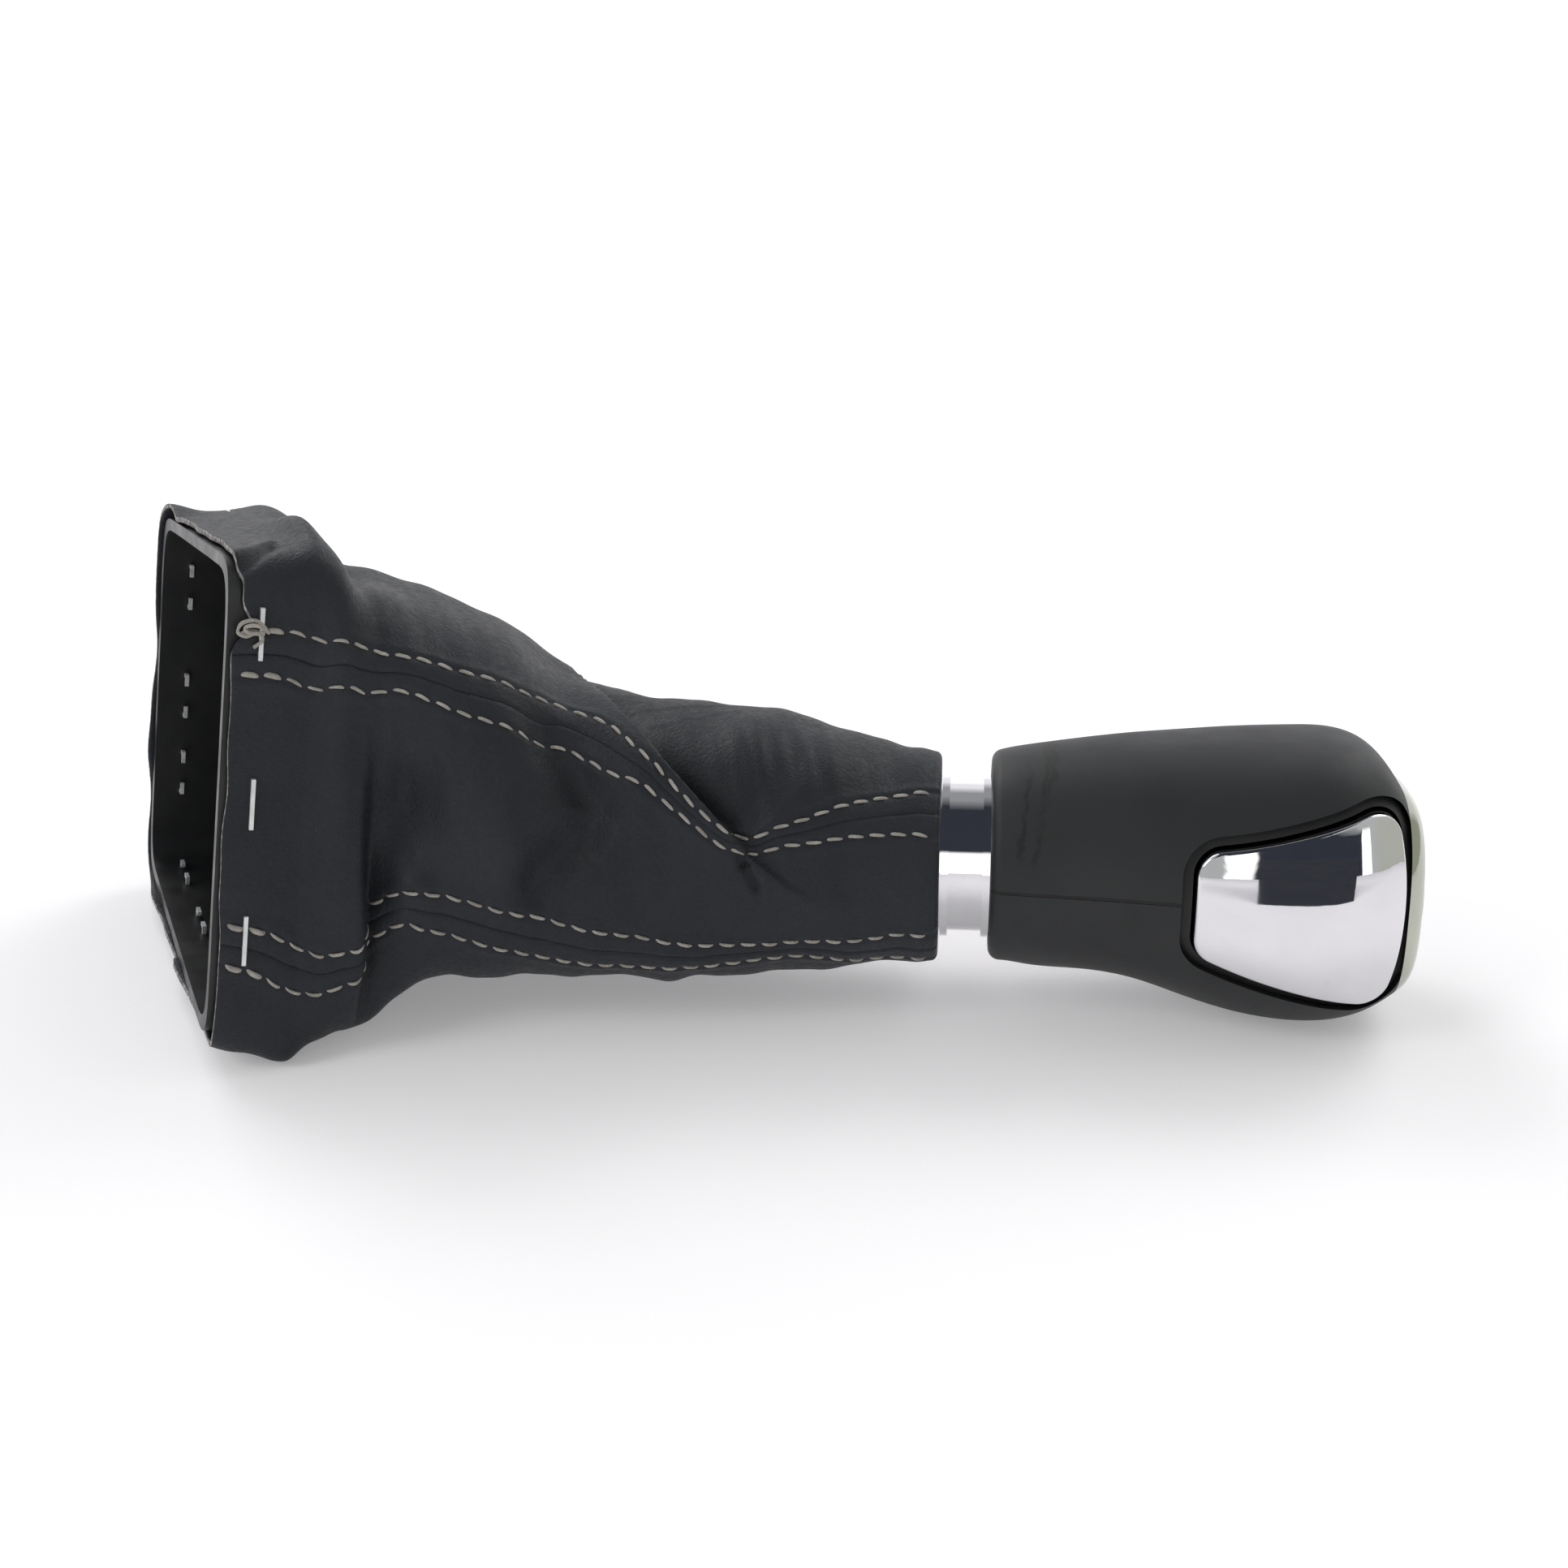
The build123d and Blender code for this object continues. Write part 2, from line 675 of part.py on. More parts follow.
# Holes that the staples' legs leave in leather and frame
with BuildPart() as staple_holes:
    for staple_face in staple_faces:
        with BuildSketch(staple_face):
            with Locations((0, -staple_leg / 2)):
                with GridLocations(staple_crown - staple_wire, 0, 2, 1):
                    Rectangle(staple_wire + 2 * staple_hole_gap, staple_leg + 2 * staple_wire)
        extrude(amount=staple_wire / 2 + staple_hole_gap, both=True)

# Gaiter frame
with BuildPart() as gaiter_frame:
    with BuildSketch(frame_face):
        make_face(frame_line(0))
        make_face(frame_line(-frame_wall), mode=Mode.SUBTRACT)
    extrude(amount=frame_depth)
    add(staple_holes.part, mode=Mode.SUBTRACT)
gaiter_frame.part.label = "gaiter_frame"
export_step(gaiter_frame.part, "parts/gaiter_frame.step")

# Staples: crown on the leather, legs through the frame, points clenched inwards
with BuildPart() as frame_staples:
    for staple_face in staple_faces:
        half = staple_crown / 2
        with BuildSketch(staple_face):
            with BuildLine():
                Polyline(
                    (-half, staple_lift + staple_wire),
                    (half, staple_lift + staple_wire),
                    (half, -staple_leg),
                    (half - staple_clench, -staple_leg),
                    (half - staple_clench, staple_wire - staple_leg),
                    (half - staple_wire, staple_wire - staple_leg),
                    (half - staple_wire, staple_lift),
                    (staple_wire - half, staple_lift),
                    (staple_wire - half, staple_wire - staple_leg),
                    (staple_clench - half, staple_wire - staple_leg),
                    (staple_clench - half, -staple_leg),
                    (-half, -staple_leg),
                    close=True,
                )
            make_face()
        extrude(amount=staple_wire / 2, both=True)
frame_staples.part.label = "frame_staples"
export_step(frame_staples.part, "parts/frame_staples.step")

# Hollow of the gaiter, up to the turned-in leather at the neck
gaiter_inner = gaiter_form(leather)
with BuildPart() as gaiter_hollow:
    add(gaiter_inner)
    split(bisect_by=Plane.YZ.offset(neck_end - leather), keep=Keep.BOTTOM)

# Leather over the frame
with BuildPart() as gaiter_skirt:
    with BuildSketch(frame_face):
        make_face(frame_line(gaiter_cover))
        make_face(frame_line(leather_gap), mode=Mode.SUBTRACT)
    extrude(amount=frame_depth)
    add(staple_holes.part, mode=Mode.SUBTRACT)

# Whole gaiter before it is parted at its seams
gaiter_outer = gaiter_form(0)
with BuildPart() as gaiter:
    add(gaiter_outer)
    add(gaiter_hollow.part, mode=Mode.SUBTRACT)
    with BuildSketch(Plane.YZ.offset(neck_end - 2 * leather)):
        Circle(collar_radius + collar_gap)
    extrude(amount=4 * leather, mode=Mode.SUBTRACT)
    add(gaiter_skirt.part)

# Four leather panels, sewn together along the seams
for panel_name, upper_side, lower_side in gaiter_panels:
    with BuildPart() as panel:
        add(gaiter.part)
        split(bisect_by=seam_plane(seam_angle), keep=upper_side)
        split(bisect_by=seam_plane(-seam_angle), keep=lower_side)
    panel.part.label = panel_name
    export_step(panel.part, f"parts/{panel_name}.step")
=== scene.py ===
import math

import bpy
import numpy as np
from mathutils import Matrix, Vector


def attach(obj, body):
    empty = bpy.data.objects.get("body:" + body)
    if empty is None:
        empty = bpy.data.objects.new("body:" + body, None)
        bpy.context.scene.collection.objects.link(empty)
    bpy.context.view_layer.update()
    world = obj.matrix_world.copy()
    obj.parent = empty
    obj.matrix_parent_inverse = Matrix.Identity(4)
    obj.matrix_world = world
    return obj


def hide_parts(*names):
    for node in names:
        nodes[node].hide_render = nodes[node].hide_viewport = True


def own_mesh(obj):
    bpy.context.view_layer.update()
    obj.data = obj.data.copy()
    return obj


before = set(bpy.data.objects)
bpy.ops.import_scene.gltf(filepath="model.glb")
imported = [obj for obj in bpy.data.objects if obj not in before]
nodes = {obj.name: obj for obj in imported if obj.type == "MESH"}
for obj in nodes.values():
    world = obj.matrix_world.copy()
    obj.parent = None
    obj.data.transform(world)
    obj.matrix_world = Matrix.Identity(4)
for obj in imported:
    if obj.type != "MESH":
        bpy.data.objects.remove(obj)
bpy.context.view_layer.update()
scene = bpy.context.scene
MM = 0.001

# Gaiter: the leather's even form, from the same values as its solids
# along is in millimetres from the frame's inner edge to the neck, below 0 on the frame
# turn is in degrees round the gaiter, 0 on the button side and 90 on top
FRAME_CENTER = np.array([-141.3, -0.5, 19.8])
FRAME_YAW = math.radians(27.0)
FRAME_TILT = math.radians(7.2)
FRAME_DEPTH = 16.0
FRAME_TAPER = 0.088
FRAME_HALF_WIDTH = 47.2
FRAME_HALF_HEIGHT = 46.2
FRAME_SQUARENESS = 12.0
NECK_X = 16.0
NECK_RADIUS = 21.4
NECK_SQUARENESS = 2.0
NECK_ROLL = 1.3
NECK_DRAW = 6
NECK_TURN_IN = 1.4
COLLAR_HOLE = 15.7
THICKNESS = 1.15
# round the gaiter, on average
MM_PER_DEGREE = 0.52
# step for slopes, in millimetres or degrees
PROBE = 0.5
# share of the way to the neck, then shares of the frame's value: sideways, rise, turn, width,
# height, squareness
STATIONS = np.array([
    (0.000, 1.00, 1.00, 1.00, 1.00, 1.00, 1.00),
    (0.054, 1.19, 1.03, 0.94, 1.03, 0.98, 0.50),
    (0.120, 1.04, 0.86, 0.85, 0.92, 0.93, 0.29),
    (0.190, 0.67, 0.81, 0.74, 0.72, 0.73, 0.20),
    (0.274, 0.37, 0.77, 0.61, 0.58, 0.62, 0.14),
    (0.365, 0.22, 0.61, 0.48, 0.49, 0.52, 0.11),
    (0.455, 0.12, 0.31, 0.33, 0.41, 0.31, 0.09),
    (0.553, 0.07, 0.21, 0.22, 0.33, 0.26, 0.07),
    (0.651, 0.00, 0.18, 0.15, 0.26, 0.23, 0.06),
    (0.749, 0.00, 0.16, 0.07, 0.19, 0.21, 0.04),
    (0.832, 0.00, 0.11, 0.00, 0.13, 0.14, 0.03),
    (0.916, 0.00, 0.03, 0.00, 0.05, 0.05, 0.01),
    (0.965, 0.00, 0.01, 0.00, 0.01, 0.01, 0.00),
    (1.000, 0.00, 0.00, 0.00, 0.00, 0.00, 0.00),
])
FRAME_WAY = np.array([math.cos(FRAME_YAW) * math.cos(FRAME_TILT),
                      math.sin(FRAME_YAW) * math.cos(FRAME_TILT),
                      -math.sin(FRAME_TILT)])
FRAME_END = FRAME_CENTER + FRAME_DEPTH * FRAME_WAY
NECK = NECK_X - FRAME_END[0]

# Slack of the leather, soft: along, turn, spread along, spread round, lean in millimetres per
# degree, height outwards
DENTS = (
    # button side: hem bulge, hollow and the swell beyond it
    (7.5, -9, 6.5, 40, 0, 2.2),
    (13.8, -20, 2.2, 24, 0, 1.2),
    (27, 6, 10, 17, 0, -5.4),
    (29, -17, 5, 7, 0, 2.0),
    (51, 0, 9, 15, 0, 2.6),
    # lower edge and the lowest corner
    (21, -53, 8, 12, 0, 2.6),
    (-1.5, -46, 6.0, 8.5, 0, 4.2),
    (-11, -46, 5, 9, 0, 1.8),
    (8.5, -50, 4.5, 10, 0, 2.2),
    (88, -64, 4, 14, 0, 1.4),
    # top: hem bulge, and the dip behind it
    (-3, 92, 6, 46, 0, 1.4),
    (0, 66, 3.6, 20, 0, 3.6),
    (15, 92, 7, 46, 0, -5.6),
    (11.5, 57, 4.2, 13, 0, -3.6),
    (2.4, 64, 3.4, 13, 0, 1.5),
    (3.2, 126, 5.0, 26, 0, 2.4),
    (18.2, 118, 4.5, 30, 0, -2.8),
    # far side
    (24, 193, 7, 26, 0, -2.6),
    (36, 231, 8.6, 16, 0, 1.0),
    (57, 185, 8, 36, -0.16, -3.6),
    (66, 127, 8.6, 18, 0, 1.6),
    (75, 185, 7, 40, 0, 1.8),
    (92, 173, 6, 34, 0.2, -3.0),
    # edge at the neck
    (139.5, 0, 3, 999, 0, 0.5),
)
# creases: points (along, turn), half width, height outwards
CREASES = (
    (((60, 42), (66, 36), (72.5, 25), (69, 12), (63, 0), (59, -10)), 5.0, -3.6),
    (((103, 11), (104.5, 5), (106.8, -3)), 0.9, -1.4),
    (((103.4, 7), (106, 8.5)), 0.7, -0.7),
    (((-15.5, 43.5), (-11.5, 46), (-6.5, 52)), 0.9, -1.4),
    (((-15.0, 47), (-10.5, 49.5), (-7, 55)), 1.6, 0.7),
)
# big fold, where the wide end laps over the neck end: points (along, turn) and depth
FOLD = ((67.1, 105), (70, 84), (74.8, 63.5), (84, 43), (92.9, 29.5), (99.8, 19), (104, 13))
FOLD_DEPTH = (3.5, 6.0, 7.5, 8.0, 7.0, 5.0, 1.5)
FOLD_REACH = 13.0
FOLD_SWELL = 10.0
FOLD_BOTTOM = 1.0
FOLD_LIP = 0.36
FOLD_EDGE = 0.7
FOLD_LAP = 0.42
FOLD_LAP_EDGE = 0.9
FOLD_LAP_REACH = 6
FOLD_LOW_TURN = -6
FOLD_LOW_FADE = 4
FOLD_HIGH_TURN = 132
FOLD_HIGH_FADE = 8
# deep crease beside the hem bulge, low on the button side
HEM_CREASE = 15.8
HEM_CREASE_DEPTH = 8.0
HEM_CREASE_REACH = 7.5
HEM_CREASE_TURN = -20
HEM_CREASE_SPREAD = 24
HEM_CREASE_EDGE = 1.5
HEM_CREASE_LOW_TURN = -24
HEM_CREASE_LOW_FADE = 4
HEM_LAP = 2.2
HEM_LAP_TURN = -29
HEM_LAP_SPREAD = 13
HEM_LAP_BACK = 0.6
HEM_LAP_EDGE = 0.8
HEM_LAP_REACH = 5
# long low waves all over, and fine lines pulled towards the neck on top
RIPPLE_HEIGHTS = (0.30, 0.22, 0.14)
RIPPLE_START = 1
RIPPLE_END = 136
RIPPLE_FADE = 3
DRAG_HEIGHT = 0.22
DRAG_RATE = 1.25
DRAG_LEAN = 0.11
DRAG_ALONG = 110
DRAG_LENGTH = 16
DRAG_TURN = 58
DRAG_SPREAD = 22
# bumps along the far and lower rim
FAR_RIM_TURN = 200
FAR_RIM_FADE = 6
BUNCH_HALF_TURN = 90
BUNCH_MEAN = 0.6
BUNCH_HEIGHT = 1.5
BUNCH_LENGTH = 5
# cut edge on the frame, with nicks: turn, spread and depth
HEM_EDGE = -15.0
HEM_WAVE = 0.25
HEM_FINE_WAVE = 0.18
HEM_NICKS = ((35.6, 2.4, 3.4), (41, 4, 1.6), (-25, 5, 0.6))
HEM_FAR_HALF_TURN = 92
HEM_FAR_WAVE = 0.7
HEM_FAR_OVERHANG = 1.6

# Seams between the panels: along and turn
SEAM_A = np.array([(-16, 31), (-6, 31), (4, 28.8), (11, 29.8), (17, 33.0), (30, 37.8), (43, 39.4),
                   (55, 43.8), (66, 51), (72, 48), (77, 43), (82, 38), (87, 31.5), (94, 22.8), (99, 17.6),
                   (102, 16.3), (106, 15.5), (111, 20), (118, 25), (125, 32), (131, 37), (139, 41.5),
                   (NECK, 42)])
SEAM_B = np.array([(-16, -27), (-7, -28.8), (-1, -31), (5, -32), (10, -31), (15, -29), (18.5, -26.5),
                   (22, -24.5), (28, -22), (34, -24), (41, -26.3), (49, -27.7), (57, -28.3), (67, -27),
                   (78, -29.8), (86, -32.5), (97, -34.8), (118, -35.2), (127, -37.5), (NECK, -39.5)])
SEAM_C = np.array([(-16, 149), (20, 147), (60, 141), (100, 139), (NECK, 139)])
SEAM_D = np.array([(-16, 211), (20, 213), (60, 219), (100, 221), (NECK, 221)])
# distance of the stitch rows from each seam: they close up where the leather folds
ROWS_A = np.array([(-16, 4.0), (8, 4.3), (16, 3.5), (24, 3.1), (34, 3.8), (60, 4.3), (74, 4.0), (82, 2.0),
                   (90, 1.3), (104, 1.5), (118, 2.4), (131, 3.6), (NECK, 4.7)])
ROWS_B = np.array([(-16, 4.0), (4, 4.0), (14, 3.2), (20, 3.2), (30, 3.7), (60, 4.7), (84, 4.2), (96, 3.3),
                   (110, 2.3), (118, 2.5), (130, 4.2), (NECK, 4.7)])
ROWS_PLAIN = np.array([(-16, 4.0), (60, 4.4), (NECK, 4.4)])
SEAMS = ((SEAM_A, ROWS_A), (SEAM_B, ROWS_B), (SEAM_C, ROWS_PLAIN), (SEAM_D, ROWS_PLAIN))
SEAM_GROOVE = 0.34
SEAM_GROOVE_WIDTH = 0.45
SEAM_RAISE = 0.4
SEAM_MARGIN = 1.9
SEAM_FADE = 0.8
ROW_SINK = 0.36
ROW_SINK_WIDTH = 0.7


def smooth(x, table_x, table_y):
    """Smooth curve through the points of a table, level before and after it."""
    x = np.asarray(x, float)
    slope = np.gradient(table_y, table_x)
    i = np.clip(np.searchsorted(table_x, x) - 1, 0, len(table_x) - 2)
    h = table_x[i + 1] - table_x[i]
    t = np.clip((x - table_x[i]) / h, 0, 1)
    return ((1 + 2 * t) * (1 - t) ** 2 * table_y[i] + t * (1 - t) ** 2 * h * slope[i]
            + t * t * (3 - 2 * t) * table_y[i + 1] + t * t * (t - 1) * h * slope[i + 1])


def on_line(along, table):
    return smooth(along, table[:, 0], table[:, 1])


def step(x):
    return 0.5 * (1 + np.tanh(x))


def bell(x, width):
    return np.exp(-(x / width) ** 2)


def away_from(turn, middle):
    return (turn - middle + 180) % 360 - 180


def to_line(along, turn, line):
    """Distance to a line of (along, turn) points, side of it (1 towards the neck) and place on it."""
    best = np.full(along.shape, np.inf)
    side = np.ones(along.shape)
    place = np.zeros(along.shape)
    across = away_from(turn, 0) * MM_PER_DEGREE
    for k in range(len(line) - 1):
        ax, ay = line[k][0], line[k][1] * MM_PER_DEGREE
        bx, by = line[k + 1][0], line[k + 1][1] * MM_PER_DEGREE
        dx, dy = bx - ax, by - ay
        t = np.clip(((along - ax) * dx + (across - ay) * dy) / (dx * dx + dy * dy), 0, 1)
        gap = np.hypot(along - ax - t * dx, across - ay - t * dy)
        nearer = gap < best
        best = np.where(nearer, gap, best)
        side = np.where(nearer, np.sign(dx * (across - ay) - dy * (along - ax)), side)
        place = np.where(nearer, k + t, place)
    return best, side, place


def ripple(along, turn):
    """A few long low waves."""
    a = np.radians(turn)
    wide, middle, fine = RIPPLE_HEIGHTS
    waves = (wide * np.sin(0.19 * along + 2 * a + 0.7) * np.cos(3 * a - 0.07 * along)
             + middle * np.sin(0.33 * along - 3 * a + 1.9)
             + fine * np.sin(0.61 * along + 5 * a) * np.cos(0.23 * along))
    return waves * step((along - RIPPLE_START) / RIPPLE_FADE) * step((RIPPLE_END - along) / RIPPLE_FADE)


def drag_lines(along, turn):
    """Fine lines pulled towards the neck, on top."""
    lines = DRAG_HEIGHT * np.sin(DRAG_RATE * along + DRAG_LEAN * turn)
    return lines * bell(along - DRAG_ALONG, DRAG_LENGTH) * bell(away_from(turn, DRAG_TURN), DRAG_SPREAD)


def far_rim(turn, half_turn):
    """1 on the far and lower part of the rim, 0 on the part that faces the camera."""
    return step((half_turn - np.abs(away_from(turn, FAR_RIM_TURN))) / FAR_RIM_FADE)


def bunching(along, turn):
    """Bumps of the leather along the far and lower rim."""
    bumps = BUNCH_MEAN + BUNCH_HEIGHT * np.sin(np.radians(13 * turn + 40)) * np.sin(np.radians(5 * turn))
    return far_rim(turn, BUNCH_HALF_TURN) * bell(along + FRAME_DEPTH, BUNCH_LENGTH) * bumps


def hem_crease(along, turn):
    """Deep crease beside the hem bulge, steep on the frame's side."""
    away = away_from(turn, HEM_CREASE_TURN)
    round_share = bell(away, HEM_CREASE_SPREAD) * step((away - HEM_CREASE_LOW_TURN) / HEM_CREASE_LOW_FADE)
    beyond = np.maximum(along - HEM_CREASE, 0)
    drop = step((along - HEM_CREASE) / HEM_CREASE_EDGE) * np.exp(-beyond / HEM_CREASE_REACH)
    return -HEM_CREASE_DEPTH * round_share * drop


def fold_share(turn):
    """1 where the big fold runs, fading out at its two ends."""
    w = away_from(turn, 0)
    return step((w - FOLD_LOW_TURN) / FOLD_LOW_FADE) * step((FOLD_HIGH_TURN - w) / FOLD_HIGH_FADE)


def to_fold(along, turn):
    """Distance to the big fold, side of it and its depth there."""
    gap, side, place = to_line(along, turn, FOLD)
    return gap, side, np.interp(place, np.arange(len(FOLD)), FOLD_DEPTH)


def big_fold(along, turn):
    """Valley on the neck's side of the fold and a swell before it."""
    gap, side, depth = to_fold(along, turn)
    valley = -depth * np.exp(-gap / FOLD_REACH) * (1 - bell(gap, FOLD_BOTTOM)) * (side > 0)
    swell = FOLD_LIP * depth * np.where(side > 0, bell(gap, FOLD_EDGE), bell(gap, FOLD_SWELL))
    return (valley + swell) * fold_share(turn)


def slack(along, turn):
    """How far the leather stands out of its even form."""
    out = ripple(along, turn) + drag_lines(along, turn) + bunching(along, turn)
    out += hem_crease(along, turn) + big_fold(along, turn)
    for place, middle, spread, round_spread, lean, height in DENTS:
        away = away_from(turn, middle)
        out += height * bell(along - place - lean * away, spread) * bell(away, round_spread)
    for line, width, height in CREASES:
        out += height * bell(to_line(along, turn, line)[0], width)
    return out


def lap(along, turn):
    """How far a fold is pushed towards the neck, over what lies beyond it."""
    gap, side, depth = to_fold(along, turn)
    push = np.where(side > 0, bell(gap, FOLD_LAP_EDGE), np.exp(-gap / FOLD_LAP_REACH))
    push = FOLD_LAP * depth * push * fold_share(turn)
    before = HEM_CREASE - HEM_LAP_BACK - along
    hem = np.where(before < 0, bell(before, HEM_LAP_EDGE), np.exp(-np.abs(before) / HEM_LAP_REACH))
    hem = hem * bell(away_from(turn, HEM_LAP_TURN), HEM_LAP_SPREAD)
    return push + HEM_LAP * hem


def surface(along, turn, out=0.0):
    """Points of the leather's outer face in millimetres, moved outwards."""
    along = np.asarray(along, float)
    a = np.radians(turn)
    shares = STATIONS[:, 0] * NECK
    side, rise, turned, width, height, square = (smooth(along, shares, STATIONS[:, k]) for k in range(1, 7))
    half_width = NECK_RADIUS + width * (FRAME_HALF_WIDTH - NECK_RADIUS)
    half_height = NECK_RADIUS + height * (FRAME_HALF_HEIGHT - NECK_RADIUS)
    square = NECK_SQUARENESS + square * (FRAME_SQUARENESS - NECK_SQUARENESS)
    yaw, tilt = FRAME_YAW * turned, FRAME_TILT * turned
    free, held = np.maximum(along, 0), np.minimum(along, 0)
    across, up = -np.cos(a), np.sin(a)
    bulk = np.abs(across / half_width) ** square + np.abs(up / half_height) ** square
    reach = bulk ** (-1 / square) + out
    u = reach * across
    v = reach * up * (1 - FRAME_TAPER * turned * u / half_width)
    return np.stack([
        FRAME_END[0] + free + held * FRAME_WAY[0] - np.sin(yaw) * u + np.sin(tilt) * np.cos(yaw) * v,
        FRAME_END[1] * side + held * FRAME_WAY[1] + np.cos(yaw) * u + np.sin(tilt) * np.sin(yaw) * v,
        FRAME_END[2] * rise + held * FRAME_WAY[2] + np.cos(tilt) * v,
    ], -1)


def degrees_per_mm(along, turn):
    moved = surface(along, turn + PROBE) - surface(along, turn)
    return PROBE / np.maximum(np.linalg.norm(moved, axis=-1), 1e-6)


def seam_lean(seam, along, rate):
    """Stretch of distances across a seam that runs aslant."""
    slope = (on_line(along + PROBE, seam) - on_line(along - PROBE, seam)) / (2 * PROBE) / rate
    return np.sqrt(1 + slope ** 2)


def seam_relief(along, turn):
    """Groove between two panels, raised turn-ins and the pull of the stitch rows."""
    gap = np.full(np.shape(along), np.inf)
    row = np.zeros(np.shape(along))
    rate = degrees_per_mm(along, turn)
    for seam, rows in SEAMS:
        here = np.abs(away_from(turn, on_line(along, seam))) / rate / seam_lean(seam, along, rate)
        row = np.where(here < gap, on_line(along, rows), row)
        gap = np.minimum(here, gap)
    turn_in = SEAM_RAISE * step((row + SEAM_MARGIN - gap) / SEAM_FADE)
    return turn_in - SEAM_GROOVE * bell(gap, SEAM_GROOVE_WIDTH) - ROW_SINK * bell(gap - row, ROW_SINK_WIDTH)


def leather_point(along, turn, lift=0.0):
    """Points of the finished leather, lifted off its outer face."""
    out = slack(along, turn) + seam_relief(along, turn) + lift
    points = surface(along + lap(along, turn), turn, out)
    # the last stretch is drawn back, so that the turned-in edge ends at the neck
    points[..., 0] -= NECK_ROLL * np.clip((along - NECK + NECK_DRAW) / NECK_DRAW, 0, 1)
    return points


def hem_start(turn):
    """Where the leather's cut edge lies on the frame: ragged at the near top corner."""
    a = np.radians(turn)
    edge = HEM_EDGE + HEM_WAVE * np.sin(7 * a + 0.4) + HEM_FINE_WAVE * np.sin(19 * a)
    for place, spread, depth in HEM_NICKS:
        edge = edge + depth * bell(away_from(turn, 0) - place, spread)
    far_waves = HEM_FAR_WAVE * np.sin(13 * a + 1.0) * np.sin(5 * a) - HEM_FAR_OVERHANG
    return edge + far_rim(turn, HEM_FAR_HALF_TURN) * far_waves


def new_piece(name, points, faces, materials, indices=None, shade_smooth=True):
    mesh = bpy.data.meshes.new(name)
    mesh.from_pydata([tuple(point) for point in points], [], faces)
    for made in materials:
        mesh.materials.append(made)
    if indices is not None:
        mesh.polygons.foreach_set("material_index", indices)
    mesh.polygons.foreach_set("use_smooth", [shade_smooth] * len(mesh.polygons))
    mesh.update()
    piece = bpy.data.objects.new(name, mesh)
    scene.collection.objects.link(piece)
    return piece


# Shader helpers
MOTTLE_LOW = 0.3
MOTTLE_HIGH = 0.7


def material(name):
    made = bpy.data.materials.new(name)
    made.use_nodes = True
    tree = made.node_tree
    tree.nodes.clear()
    out = tree.nodes.new("ShaderNodeOutputMaterial")
    shader = tree.nodes.new("ShaderNodeBsdfPrincipled")
    tree.links.new(shader.outputs[0], out.inputs[0])
    return made, tree, shader


def node(tree, kind, **values):
    made = tree.nodes.new(kind)
    for key, value in values.items():
        if key in made.inputs:
            made.inputs[key].default_value = value
        else:
            setattr(made, key, value)
    return made


def coords(tree):
    return tree.nodes.new("ShaderNodeTexCoord").outputs["Object"]


def noise(tree, scale, detail=4.0, rough=0.55):
    made = node(tree, "ShaderNodeTexNoise", Scale=scale, Detail=detail, Roughness=rough)
    tree.links.new(coords(tree), made.inputs["Vector"])
    return made.outputs["Fac"]


def ramp(tree, source, stops):
    made = tree.nodes.new("ShaderNodeValToRGB")
    items = made.color_ramp.elements
    while len(items) < len(stops):
        items.new(0.5)
    for item, (place, colour) in zip(items, stops):
        item.position = place
        item.color = (*colour, 1)
    tree.links.new(source, made.inputs[0])
    return made.outputs[0]


def span(tree, source, low, high, to_low, to_high):
    made = tree.nodes.new("ShaderNodeMapRange")
    for key, value in (("From Min", low), ("From Max", high), ("To Min", to_low), ("To Max", to_high)):
        made.inputs[key].default_value = value
    tree.links.new(source, made.inputs["Value"])
    return made.outputs["Result"]


def maths(tree, kind, a, b=None):
    made = tree.nodes.new("ShaderNodeMath")
    made.operation = kind
    for k, value in enumerate((a, b)):
        if isinstance(value, (int, float)):
            made.inputs[k].default_value = value
        elif value is not None:
            tree.links.new(value, made.inputs[k])
    return made.outputs[0]


def rising(tree, source, low, high):
    return span(tree, source, low, high, 0.0, 1.0)


def falling(tree, source, low, high):
    return span(tree, source, low, high, 1.0, 0.0)


def product(tree, first, *others):
    """All the shares multiplied."""
    for other in others:
        first = maths(tree, "MULTIPLY", first, other)
    return first


def between(tree, source, low, high, edge):
    """1 between two values, fading to 0 over an edge."""
    return product(tree, rising(tree, source, low - edge, low), falling(tree, source, high, high + edge))


def mottled(tree, scale, detail, tones):
    """Colour that wanders between two tones."""
    return ramp(tree, noise(tree, scale, detail), [(MOTTLE_LOW, tones[0]), (MOTTLE_HIGH, tones[1])])


def uneven(tree, scale, detail, ends):
    """Value that wanders between two ends."""
    return span(tree, noise(tree, scale, detail), MOTTLE_LOW, MOTTLE_HIGH, *ends)


def mix(tree, share, first, second):
    made = tree.nodes.new("ShaderNodeMixRGB")
    tree.links.new(share, made.inputs[0])
    for k, value in ((1, first), (2, second)):
        if isinstance(value, tuple):
            made.inputs[k].default_value = (*value, 1)
        else:
            tree.links.new(value, made.inputs[k])
    return made.outputs[0]


def bump(tree, shader, height, distance, strength, after=None):
    made = tree.nodes.new("ShaderNodeBump")
    made.inputs["Distance"].default_value = distance
    made.inputs["Strength"].default_value = strength
    tree.links.new(height, made.inputs["Height"])
    if after is not None:
        tree.links.new(after, made.inputs["Normal"])
    tree.links.new(made.outputs[0], shader.inputs["Normal"])
    return made.outputs[0]


